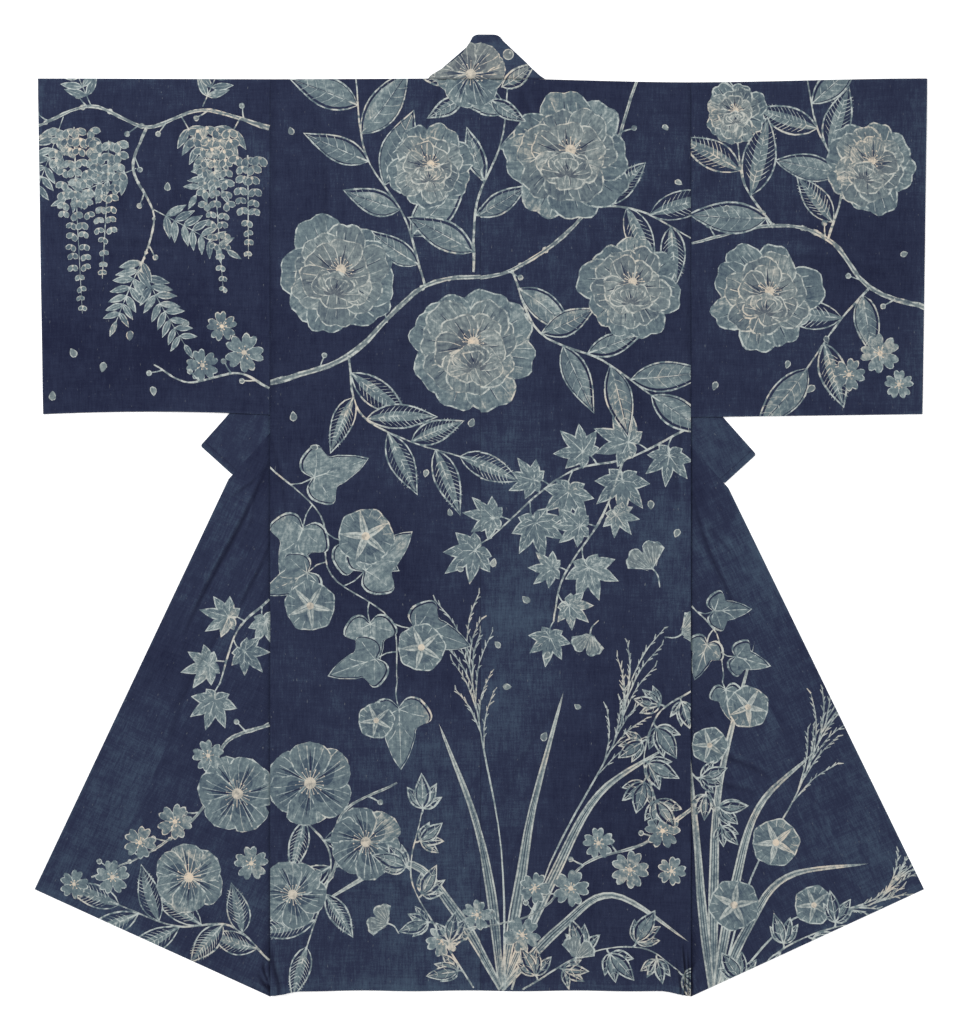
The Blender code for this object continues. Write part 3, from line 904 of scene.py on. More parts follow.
def plume(rng, points, length):
    """A grass plume: a stem whose end parts into many fine drooping strands."""
    stem = curve_through(points, 6)
    shapes = [stroke(points, 0.0030, 0.0016, UNBROKEN, rng=rng, knots=0.2)]
    strands, tufts = 11, 8
    for number in range(strands):
        place, heading = along_curve(stem, mix(0.70, 1.0, (number / (strands - 1)) ** 0.8))
        reach = length * rng.uniform(1.5, 2.3)
        droop = rng.uniform(0.22, 0.42) * (-1 if number % 2 else 1)
        ends = ((0, 0), (droop * reach * 0.35, reach * 0.5), (droop * reach, reach * 0.92))
        strand = [stroke(ends, 0.0022, 0.0010, PALE * 1.1, 0.05, rng, 0.3, steps=3)]
        curve = curve_through(ends, 4)
        for tuft in range(tufts):
            spot, turn = along_curve(curve, 0.22 + 0.76 * tuft / (tufts - 1))
            lean = turn + rng.choice((-1, 1)) * rng.uniform(18, 34)
            tip = ((0, 0), (0, rng.uniform(0.006, 0.010)))
            strand += stamp([hair(tip, 0.0024, 0.0010, PALE, 0.05, steps=1)], *spot, lean)
        shapes += stamp(strand, *place, heading)
    return shapes


def twig(rng, points, width, end_width, spurs):
    """A knotty branch with short spurs."""
    curve = curve_through(points, 6)
    shapes = [stroke(points, width, end_width, LINE, 0.12, rng, 0.30, steps=8)]
    for _ in range(len(curve) // 3):
        place, _ = along_curve(curve, rng.uniform(0.02, 0.98))
        size = mix(width, end_width, 0.5) * rng.uniform(0.55, 0.85)
        shapes.append(shape(disc(size, 8, *place), LINE, 0.15))
    if width > 0.005:
        shapes.append(stroke(points, width * 0.42, end_width * 0.3, WASH, 0.1, rng, 0.4, steps=8))
    for number in range(spurs):
        place, heading = along_curve(curve, (number + rng.uniform(0.3, 0.7)) / spurs)
        spur = [stroke(((0, 0), (0.001, 0.009), (0.003, 0.018)), 0.0024, 0.0014, steps=2)]
        spur += stamp(bud(rng, 0.0042), 0.003, 0.020)
        shapes += stamp(spur, *place, heading + rng.choice((-1, 1)) * rng.uniform(35, 65))
    return shapes


def fallen(rng, size):
    """A single notched petal that has fallen."""
    form = blade_sizes(size, size * 0.72, 1.35, 0.55, bow=rng.uniform(-0.15, 0.15), steps=7)
    one = inlaid(form, 0.0014, WASH * rng.uniform(0.8, 1.2), (0, size), 0.1, edge_warm=0.1)
    return stamp(one, turn=rng.uniform(0, 360))


def leafy(rng, points, make_leaf, sizes, count, spread, width=0.0034, end_width=0.0020, start=0.1):
    """A stem with leaves of these least and largest sizes, to its left and right in turn."""
    curve = curve_through(points, 8)
    shapes = [stroke(points, width, end_width, LINE, 0.08, rng, 0.28, steps=7)]
    for number in range(count):
        place, heading = along_curve(curve, mix(start, 1.0, number / max(count - 1, 1)))
        side = 0 if number == count - 1 else (-1 if number % 2 else 1)
        one = make_leaf(rng, rng.uniform(*sizes))
        shapes += stamp(one, *place, heading + side * spread * rng.uniform(0.75, 1.15))
    return shapes


def trefoil(rng, length):
    """A leaf of three broad leaflets on one stalk, the middle one cleft in turn."""
    shapes = []
    for turn, share in ((-46, 0.72), (46, 0.72), (-16, 0.84), (14, 1.0)):
        size = length * share * rng.uniform(0.92, 1.08)
        leaflet = leaf(rng, size, size * rng.uniform(0.40, 0.50), ribs=2)
        shapes += stamp(leaflet, 0, length * 0.16, turn + rng.uniform(-6, 6))
    stalk = ((0, length * 0.2), (0.001, length * 0.08), (0, 0))
    shapes.append(stroke(stalk, 0.0024, 0.0026, steps=2))
    return shapes


# --- Where the pattern's motifs lie ---------------------------------------------------


def path(*values):
    """Points from millimetres across and up in turn."""
    return np.array(values, float).reshape(-1, 2) / 1000


def several(rng, make, *rows):
    """Motifs of one kind. A row has the place and size in millimetres, and may have a turn."""
    art = []
    for x, y, size, *turn in rows:
        art += stamp(make(rng, size / 1000), x / 1000, y / 1000, *turn)
    return art


def petals(rng, *values):
    """Fallen petals, at these millimetres across and up in turn."""
    art = []
    for place in path(*values):
        art += stamp(fallen(rng, rng.uniform(0.011, 0.015)), *place)
    return art


def tuft(root, shift, *rows):
    """Grass leaves from one root. A row has each one's width, crown and end."""
    art = []
    for width, *places in rows:
        crown, end = path(*places)
        art += grass((root, mix(root, crown, 0.5) + shift, crown, end), width)
    return art


def body_pattern():
    rng = random.Random(11)
    art = tuft(
        *path(30, -680, 4, 20),
        (0.016, 170, -400, 270, -330),
        (0.017, 75, -420, 120, -250),
        (0.015, -10, -430, -60, -300),
        (0.015, -110, -500, -235, -560),
        (0.014, 190, -545, 300, -610),
    )
    art += plume(rng, path(35, -680, 30, -480, 0, -310, -20, -190), 0.046)
    art += plume(rng, path(45, -680, 100, -500, 190, -330, 215, -240), 0.044)
    # maple twigs from the right side, and a vine on the left
    points = path(304, 130, 215, 85, 120, 60, 15, -30)
    art += leafy(rng, points, maple, (0.038, 0.052), 9, 62)
    points = path(205, 80, 175, 0, 120, -85, 105, -150)
    art += leafy(rng, points, maple, (0.034, 0.050), 6, 60, start=0.25)
    points = path(-304, 70, -230, 0, -215, -85, -130, -150, -120, -240)
    art += leafy(rng, points, heart_leaf, (0.066, 0.092), 9, 66, 0.0024, 0.0014)
    glories = ((-165, -30, 40), (-245, -130, 36), (-85, -190, 34), (-150, -295, 26))
    art += several(rng, glory, *glories)
    # peony branch across the shoulders
    points = path(-304, 190, -190, 230, -80, 330, 45, 355, 160, 450, 225, 632)
    art += twig(rng, points, 0.0080, 0.0040, 5)
    points = path(-80, 330, -110, 430, -165, 520, -180, 632)
    art += leafy(rng, points, broad_leaf, (0.085, 0.125), 8, 54)
    points = path(45, 355, 85, 265, 175, 225, 245, 175)
    art += leafy(rng, points, broad_leaf, (0.085, 0.125), 8, 50)
    points = path(-190, 230, -175, 150, -110, 110, -30, 85)
    art += leafy(rng, points, ribbed_leaf, (0.08, 0.11), 7, 50)
    art += leafy(rng, path(160, 450, 230, 440, 304, 400), ribbed_leaf, (0.08, 0.11), 5, 48)
    points = path(-10, 350, -5, 450, 30, 540, 40, 632)
    art += leafy(rng, points, broad_leaf, (0.08, 0.11), 6, 56)
    art += several(
        rng, peony, (-205, 345, 89), (-15, 240, 94), (125, 520, 92), (215, 330, 76), (-75, 500, 63)
    )
    # camellias low on the left
    art += twig(rng, path(-304, -600, -215, -520, -200, -430, -120, -385), 0.0060, 0.0030, 3)
    points = path(-300, -390, -250, -440, -215, -500, -250, -620)
    art += leafy(rng, points, ribbed_leaf, (0.07, 0.10), 7, 54)
    art += several(rng, camellia, (-245, -385, 62), (-165, -470, 54), (-270, -545, 50))
    # cherry spray low on the right
    points = path(304, -420, 235, -470, 150, -500, 80, -570, -40, -600)
    art += twig(rng, points, 0.0056, 0.0020, 8)
    art += several(
        rng, cherry, (262, -452, 27), (215, -508, 29), (170, -470, 24), (130, -535, 28),
        (78, -535, 24), (60, -602, 28), (-5, -575, 23), (-55, -612, 25), (275, -510, 22),
    )
    # clover sprays between the grasses and the camellias
    for points in (
        path(-10, -680, -60, -600, -100, -520, -85, -430),
        path(60, -680, 150, -630, 230, -620, 285, -650),
        path(304, -250, 255, -285, 235, -350, 250, -400),
    ):
        art += leafy(rng, points, trefoil, (0.040, 0.054), 7, 62, 0.0026, 0.0016)
    art += petals(
        rng, 20, -60, 60, -115, 20, -180, 90, -205, 45, -245, 135, -270, 95, -310, -35, -75,
        -45, 10, -80, 55, -270, 150, -245, 100, 245, 10, 280, -30, -10, 140, 270, 560,
        290, 480, -275, 560,
    )
    return art + several(
        rng, ginkgo, (250, -80, 46, 30), (285, -170, 40, -70), (160, -165, 36, 160),
        (-130, -590, 34, 60), (135, -640, 36, -20),
    )


def left_sleeve_pattern():
    rng = random.Random(23)
    points = path(-304, 560, -400, 585, -480, 560, -560, 590, -640, 560)
    art = twig(rng, points, 0.0062, 0.0040, 6)
    art += twig(rng, path(-480, 560, -500, 500, -470, 430, -490, 350), 0.0044, 0.0022, 3)
    art += several(
        rng, pinnate, (-345, 575, 130, 150), (-430, 575, 120, 215), (-470, 440, 120, 245),
        (-600, 575, 120, 165), (-560, 590, 100, 30), (-400, 590, 100, -30),
        (-495, 500, 110, 110), (-490, 360, 130, 200), (-480, 380, 110, 150),
    )
    rows = ((-585, 560, 270, 70), (-535, 540, 200, 56), (-385, 560, 240, 66), (-335, 520, 150, 46))
    for x, y, length, width in rows:
        art += stamp(raceme(rng, length / 1000, width / 1000), x / 1000, y / 1000)
    art += several(rng, cherry, (-340, 235, 30), (-400, 215, 25), (-372, 272, 23))
    art += twig(rng, path(-304, 185, -350, 205, -420, 190, -470, 215), 0.0036, 0.0018, 4)
    places = (-505, 250, -545, 205, -590, 240, -470, 170, -430, 270, -615, 180, -450, 480)
    return art + petals(rng, *places)


def right_sleeve_pattern():
    rng = random.Random(37)
    points = path(640, 300, 560, 330, 500, 400, 420, 420, 304, 395)
    art = twig(rng, points, 0.0074, 0.0040, 5)
    for points, count, spread in (
        (path(500, 400, 520, 480, 485, 560, 470, 632), 7, 54),
        (path(560, 330, 515, 280, 470, 215), 4, 52),
        (path(420, 420, 380, 480, 370, 540), 4, 56),
    ):
        art += leafy(rng, points, either_leaf, (0.085, 0.120), count, spread)
    art += several(rng, peony, (560, 505, 70), (412, 318, 79), (365, 585, 47))
    art += several(rng, cherry, (575, 235, 30), (530, 205, 25), (602, 190, 22))
    return art + petals(rng, 470, 180, 440, 215, 500, 250, 335, 185, 615, 380, 350, 440)


def left_wing_pattern():
    rng = random.Random(41)
    points = path(-304, -300, -370, -330, -400, -420, -470, -480, -560, -520)
    art = twig(rng, points, 0.0056, 0.0022, 7)
    art += leafy(rng, path(-304, -120, -350, -165, -375, -240), maple, (0.036, 0.048), 5, 60)
    points = path(-304, -640, -360, -590, -440, -590, -520, -560)
    art += leafy(rng, points, narrow_leaf, (0.07, 0.10), 8, 48)
    art += several(rng, camellia, (-350, -400, 58), (-420, -520, 52))
    return art + several(
        rng, cherry, (-392, -345, 24), (-440, -440, 27), (-490, -470, 25),
        (-530, -520, 26), (-585, -530, 22), (-330, -500, 26),
    )


def right_wing_pattern():
    rng = random.Random(53)
    art = tuft(
        *path(335, -700, -4, 15),
        (0.015, 345, -380, 395, -180),
        (0.015, 400, -420, 480, -340),
        (0.014, 440, -520, 560, -500),
        (0.014, 310, -450, 290, -260),
    )
    art += plume(rng, path(340, -700, 390, -520, 455, -400, 500, -290), 0.042)
    art += plume(rng, path(340, -700, 450, -580, 560, -560, 600, -520), 0.038)
    points = path(304, -130, 340, -170, 350, -230)
    art += leafy(rng, points, heart_leaf, (0.046, 0.060), 4, 60, 0.0022, 0.0014)
    art += several(
        rng, glory, (385, -275, 30), (425, -470, 34), (365, -560, 36),
        (480, -560, 28), (330, -330, 26),
    )
    points = path(360, -690, 440, -620, 520, -590, 545, -600)
    art += leafy(rng, points, trefoil, (0.038, 0.050), 6, 62, 0.0026, 0.0016)
    points = path(304, -370, 330, -400, 345, -440)
    return art + leafy(rng, points, trefoil, (0.034, 0.044), 4, 58, 0.0024, 0.0016)


def crown():
    """The flower that the neck seam crosses."""
    rng = random.Random(71)
    art = []
    for x, y, turn in ((30, 618, -62), (-39, 622, 66), (15, 600, -128), (-25, 600, 118)):
        art += stamp(leaf(rng, 0.060, 0.026), x / 1000, y / 1000, turn)
    return roughen(art + stamp(camellia(rng, 0.052), -0.014, 0.636), 7)


def neck_pattern():
    rng = random.Random(67)
    art = crown() + several(rng, bud, (40, 664, 8), (-48, 655, 6))
    for one in art:
        one["warm"] = max(one["warm"], 0.22)
    return art


# --- Cloth ----------------------------------------------------------------------------


def is_inside(outline, points):
    """Which of the points a closed outline winds round."""
    after = np.roll(outline, -1, 0)
    rise = after[:, 1] - outline[:, 1]
    slope = (after[:, 0] - outline[:, 0]) / np.where(rise == 0, 1, rise)
    height = points[:, 1, None]
    upwards = (outline[:, 1] <= height) & (after[:, 1] > height)
    downwards = (outline[:, 1] > height) & (after[:, 1] <= height)
    is_left = points[:, 0, None] < outline[:, 0] + (height - outline[:, 1]) * slope
    return ((upwards & is_left).sum(1) - (downwards & is_left).sum(1)) != 0


def topmost(outlines, points):
    """The number of the last outline that each point lies in, or -1."""
    order = np.argsort(points[:, 1])
    ordered = points[order]
    found = np.full(len(points), -1)
    for number, outline in enumerate(outlines):
        low, high = outline.min(0), outline.max(0)
        first, last = np.searchsorted(ordered[:, 1], (low[1], high[1]))
        across = ordered[first:last, 0]
        near = first + np.flatnonzero((across > low[0]) & (across < high[0]))
        found[order[near[is_inside(outline, ordered[near])]]] = number
    return found


def side_edges(polylines, start=0, is_closed=False):
    """The edges along polylines whose points are numbered on from start."""
    edges = []
    for line in polylines:
        end = start + len(line)
        edges.extend(zip(range(start, end - 1), range(start + 1, end)))
        if is_closed:
            edges.append((end - 1, start))
        start = end
    return edges


def delaunay(points, edges):
    """Triangles between points, with the edges along their sides."""
    flat = [Vector(point) for point in points.tolist()]
    found = delaunay_2d_cdt(flat, edges, [], 0, 1e-6, False)
    return np.array([point[:] for point in found[0]]), np.array(found[2])


def sides_of(triangles):
    return np.concatenate([triangles[:, pair] for pair in ((0, 1), (1, 2), (2, 0))])


def renumbered(points, corners):
    """The points that the corners use, and the corners by their new numbers."""
    used = np.unique(corners)
    numbers = np.full(len(points), -1)
    numbers[used] = np.arange(len(used))
    return points[used], numbers[corners]


def thin_out(points, edges, fixed):
    """The edges without the points that lie almost straight between two others."""
    priority = np.arange(len(points)) * 7919 % 10007  # any fixed order that isn't the line's
    for _ in range(THINNING_ROUNDS):
        directed = np.vstack((edges, edges[:, ::-1]))
        directed = directed[np.argsort(directed[:, 0], kind="stable")]
        degree = np.bincount(directed[:, 0], minlength=len(points))
        first = np.cumsum(degree) - degree
        middle = np.flatnonzero((degree == 2) & ~fixed)
        before = directed[first[middle], 1]
        after = directed[first[middle] + 1, 1]
        chord = points[after] - points[before]
        rise = points[middle] - points[before]
        length = np.maximum(np.linalg.norm(chord, axis=1), TINY)
        away = np.abs(rise[:, 0] * chord[:, 1] - rise[:, 1] * chord[:, 0]) / length
        share = (rise * chord).sum(1) / length**2
        straight = (away < THINNING) & (share > 0) & (share < 1)
        rank = np.full(len(points), -1)
        rank[middle[straight]] = priority[middle[straight]]
        chosen = straight & (rank[middle] > rank[before]) & (rank[middle] > rank[after])
        gone = np.zeros(len(points), bool)
        gone[middle[chosen]] = True
        joined = np.stack((before[chosen], after[chosen]), 1)
        edges = np.vstack((edges[~gone[edges].any(1)], joined))
    return edges


def with_steps(outline):
    """A closed outline with points along its long sides."""
    parts = []
    for start, end in zip(outline, np.roll(outline, -1, 0)):
        count = max(1, round(float(np.linalg.norm(end - start)) / EDGE_STEP))
        parts.append(start + (end - start) * np.linspace(0, 1, count, endpoint=False)[:, None])
    return np.vstack(parts)


def cut_out(regions, lines, grid):
    """Cuts a flat cloth into triangles along its edges, the pattern's shapes and these lines.

    Gives the points, the triangles, the shapes and the number of each triangle's shape.
    """
    outlines = [np.array(outline, float) for outline, _ in regions]
    shapes, owners = [], []
    for number, (_, art) in enumerate(regions):
        own = [one for one in art if is_inside(outlines[number], one["points"]).any()]
        shapes += own
        owners += [number] * len(own)
    owners = np.array(owners, int)
    painted = [one["points"] for one in shapes]

    def labels(points, triangles):
        """Each triangle's region, and its shape or -1 where its ground is bare."""
        centres = points[triangles].mean(1)
        region = topmost(outlines, centres)
        found = np.full(len(centres), -1)
        for number in range(len(regions)):
            here = np.flatnonzero(region == number)
            own = np.flatnonzero(owners == number)
            top = topmost([painted[index] for index in own], centres[here])
            found[here] = np.where(top < 0, -1, own[top] if len(own) else -1)
        return region, found

    # the first cut has every edge, and the second only those between unlike paints
    cuts = [with_steps(outline) for outline in outlines] + painted
    points, triangles = delaunay(np.vstack(cuts), side_edges(cuts, is_closed=True))
    region, painting = labels(points, triangles)
    label = (region + 1) * (len(shapes) + 2) + painting
    sides = np.sort(sides_of(triangles), 1)
    owner = np.tile(np.arange(len(triangles)), 3)
    order = np.lexsort((sides[:, 1], sides[:, 0]))
    sides, owner = sides[order], owner[order]
    is_pair = (sides[1:] == sides[:-1]).all(1)
    differs = label[owner[1:]] != label[owner[:-1]]
    is_first = np.append(is_pair, False)
    is_second = np.append(False, is_pair)
    is_lone = ~is_first & ~is_second & (region[owner] >= 0)
    at_edge = np.append(is_pair & (region[owner[1:]] != region[owner[:-1]]), False)
    fixed = np.zeros(len(points), bool)
    fixed[sides[at_edge | is_lone]] = True
    kept = thin_out(points, sides[np.append(is_pair & differs, False) | is_lone], fixed)
    base, edges = renumbered(points, kept)
    edges = edges.tolist() + side_edges(lines, len(base))
    points, triangles = delaunay(np.vstack([base] + lines + [grid]), edges)
    region, painting = labels(points, triangles)
    points, corners = renumbered(points, triangles[region >= 0])
    return points, corners, shapes, painting[region >= 0]


def outer_edges(triangles):
    """The directed edges that only one triangle has."""
    directed = sides_of(triangles)
    ordered = np.sort(directed, axis=1)
    _, index, count = np.unique(ordered, axis=0, return_index=True, return_counts=True)
    return directed[index[count == 1]]


def make_cloth(node, regions, place, wear_at, painted_shade_at, thickness, lines, grid, seed, to_weave=None):
    """Makes a thin closed sheet of cloth for a node of the CAD model.

    A region is an outline and its shapes. place gives the world points of flat points, and
    to_weave where they are in the cloth's weave, whose unevenness differs by the seed.
    """
    name = node + "_cloth"
    flat, triangles, shapes, painting = cut_out(regions, lines, grid)
    x, y = flat[:, 0], flat[:, 1]
    middle = np.stack(place(x, y), 1)
    step = NORMAL_STEP
    across = np.stack(place(x + step, y), 1) - np.stack(place(x - step, y), 1)
    along = np.stack(place(x, y + step), 1) - np.stack(place(x, y - step), 1)
    normal = np.cross(across, along)
    normal /= np.linalg.norm(normal, axis=1)[:, None]
    corners = middle[triangles]
    facing = np.cross(corners[:, 1] - corners[:, 0], corners[:, 2] - corners[:, 0])
    if (facing * normal[triangles[:, 0]]).sum() < 0:
        triangles = triangles[:, ::-1]
    count = len(flat)
    rim = outer_edges(triangles)
    points = np.concatenate((middle + normal * thickness / 2, middle - normal * thickness / 2))
    quads = np.stack((rim[:, 1], rim[:, 0], rim[:, 0] + count, rim[:, 1] + count), 1)
    loops = np.concatenate((triangles.ravel(), (triangles[:, ::-1] + count).ravel(), quads.ravel()))
    totals = np.repeat((3, 4), (2 * len(triangles), len(quads)))
    mesh = bpy.data.meshes.new(name)
    mesh.vertices.add(len(points))
    mesh.vertices.foreach_set("co", points.ravel())
    mesh.loops.add(len(loops))
    mesh.loops.foreach_set("vertex_index", loops.astype(np.int32))
    mesh.polygons.add(len(totals))
    starts = np.append(0, np.cumsum(totals)[:-1])
    mesh.polygons.foreach_set("loop_start", starts.astype(np.int32))
    mesh.update(calc_edges=True)
    mesh.shade_smooth()

    # what each corner is painted with: the paint and the place on its own stroke
    shapes = shapes + [shape(((0, 0), (0, 0), (0, 0)), GROUND)]  # number -1 is bare ground
    paints = np.array([(one["resist"], one["warm"], 0) for one in shapes])[painting]
    axes = np.array([one["axis"] for one in shapes])[painting]
    length = axes[:, 1] - axes[:, 0]
    size = np.maximum((length**2).sum(1), 1e-8)
    turned = np.stack((-length[:, 1], length[:, 0]), 1)
    from_base = flat[triangles] - axes[:, None, 0]
    on_stroke = np.zeros((len(triangles), 3, 3))
    for number, way in enumerate((length, turned)):
        on_stroke[:, :, number] = (from_base * way[:, None]).sum(2) / size[:, None]
    on_stroke[:, :, 2] = (axes[:, 0].sum(1) * 7 % 1)[:, None]

    def both_faces(values):
        rim_values = np.zeros((len(quads) * 4, 3))
        return np.concatenate((values.reshape(-1, 3), values[:, ::-1].reshape(-1, 3), rim_values))

    flat_weave = to_weave(x, y) if to_weave else (x, y)
    weave = np.stack((*flat_weave, np.full_like(x, seed)), 1)
    # worn hems and edges and the dye's fading, with the painted shade of the darker patches
    wear_and_shade = wear_at(x, y) + fade_and_shade(middle[:, 0], middle[:, 1])
    # fold is painted shade: down in crease troughs, tucks and seams, up on crease ridges
    fold = painted_shade_at(x, y)
    for label, kind, domain, values in (
        ("paint", "FLOAT_VECTOR", "CORNER", both_faces(np.repeat(paints[:, None], 3, 1))),
        ("stroke", "FLOAT_VECTOR", "CORNER", both_faces(on_stroke)),
        ("weave", "FLOAT_VECTOR", "POINT", np.concatenate((weave, weave))),
        ("wear_and_shade", "FLOAT", "POINT", np.concatenate((wear_and_shade, wear_and_shade))),
        ("fold", "FLOAT", "POINT", np.concatenate((fold, fold))),
    ):
        layer = mesh.attributes.new(label, kind, domain)
        layer.data.foreach_set("value" if kind == "FLOAT" else "vector", values.ravel())
    mesh.normals_split_custom_set_from_vertices(np.concatenate((normal, -normal)))
    piece = bpy.data.objects.new(name, mesh)
    bpy.context.scene.collection.objects.link(piece)
    print(name, len(triangles) * 2 + len(quads) * 2, "triangles")
    return piece


def grid_in(low, high, step):
    """Points of a grid between two corners."""
    xs = np.arange(low[0] + step / 2, high[0], step)
    ys = np.arange(low[1] + step / 2, high[1], step)
    return np.stack(np.meshgrid(xs, ys), 2).reshape(-1, 2)


def to_flat(art, change):
    """The shapes with all their points changed to a cloth's flat frame."""
    return changed(art, lambda points: np.stack(change(*points.T), 1))


def coarse(art):
    """The shapes for a hidden layer: without the finest ones, and with plainer outlines."""
    kept = [one for one in art if not one["fine"]]
    return [dict(one, points=simplified(one["points"], HIDDEN_TOLERANCE)) for one in kept]


def rounded(outline, corners, radius):
    """The outline with the corners of these numbers rounded off."""
    points = []
    for number, corner in enumerate(outline):
        if number not in corners:
            points.append(tuple(corner))
            continue
        here = Vector(corner)
        before = (Vector(outline[number - 1]) - here).normalized() * radius
        after = (Vector(outline[(number + 1) % len(outline)]) - here).normalized() * radius
        for share in (0.0, 0.25, 0.5, 0.75, 1.0):
            points.append(tuple(here + before * (1 - share) ** 2 + after * share**2))
    return points


def split(outline, away):
    """An outline cut in two along a line: within it and past it. away is how far past it."""
    within, beyond = [], []
    for (x0, y0), (x1, y1) in zip(outline, outline[1:] + outline[:1]):
        start, end = float(away(x0, y0)), float(away(x1, y1))
        (beyond if start > ON_LINE else within).append((x0, y0))
        if abs(start) <= ON_LINE:
            beyond.append((x0, y0))
        elif start * end < 0 and abs(end) > ON_LINE:
            share = start / (start - end)
            crossing = (mix(x0, x1, share), mix(y0, y1, share))
            within.append(crossing)
            beyond.append(crossing)
    return within, beyond


def lengthwise(start, end, count):
    """Evenly spaced points from one point to another."""
    start, end = np.array(start, float), np.array(end, float)
    return start + (end - start) * np.linspace(0, 1, count)[:, None]


def fold_lines(half, low, high, steps):
    """Lines along the slanting fold's bend, between two distances from its corner."""
    upwards = Vector((half.fold_normal.y, -half.fold_normal.x))
    starts = [half.corner + half.fold_normal * (HALF_TURN * step / FOLD_STEPS) for step in steps]
    return [lengthwise(start + upwards * low, start + upwards * high, 110) for start in starts]


def crease_lines(layer, sign, change):
    """Lines along the creases of one side, so that the cloth bends smoothly there."""
    found = []
    for crease in CREASES[layer]:
        if crease.x * sign <= 0:
            continue
        sine, cosine = math.sin(math.radians(crease.angle)), math.cos(math.radians(crease.angle))
        down, aside = np.array((sine, -cosine)), np.array((cosine, sine))
        along = np.linspace(0, 1, max(4, round(crease.length / 0.008)))[:, None]
        for across in (-1.05, -0.75, -0.5, -0.3, -0.1, 0.1, 0.3, 0.5, 0.75, 1.05):
            shift = (across - wander(crease, along)) * crease.half_width
            points = np.array((crease.x, crease.y)) + down * along * crease.length + aside * shift
            found.append(np.stack(change(sign * points[:, 0], points[:, 1]), 1))
    return found


def flipped(x, y):
    """The point on the other side of the shoulder line."""
    return x, 2 * SHOULDER_Y - y


# --- The pieces -----------------------------------------------------------------------


def clear_of_back(out):
    """0 where a wing lies under the back, 1 where it has room for its creases."""
    return ease((BACK_HALF_WIDTH + 0.012 - out) / 0.020)


def tucked(out, y):
    """How deep in shade a wing is beside the edge of the body, most of all by the hem."""
    wedge = ease((y + SHOULDER_Y) / 0.05) * ease((out - BACK_HALF_WIDTH) / 0.014)
    shade = 0.15 * ease((out - BACK_HALF_WIDTH) / 0.012) + 0.45 * wedge
    return shade * ease((BACK_HALF_WIDTH - out) / 0.030)


def seed_of(number, sign):
    """The seed of a piece's weave."""
    return number + 0.37 * sign


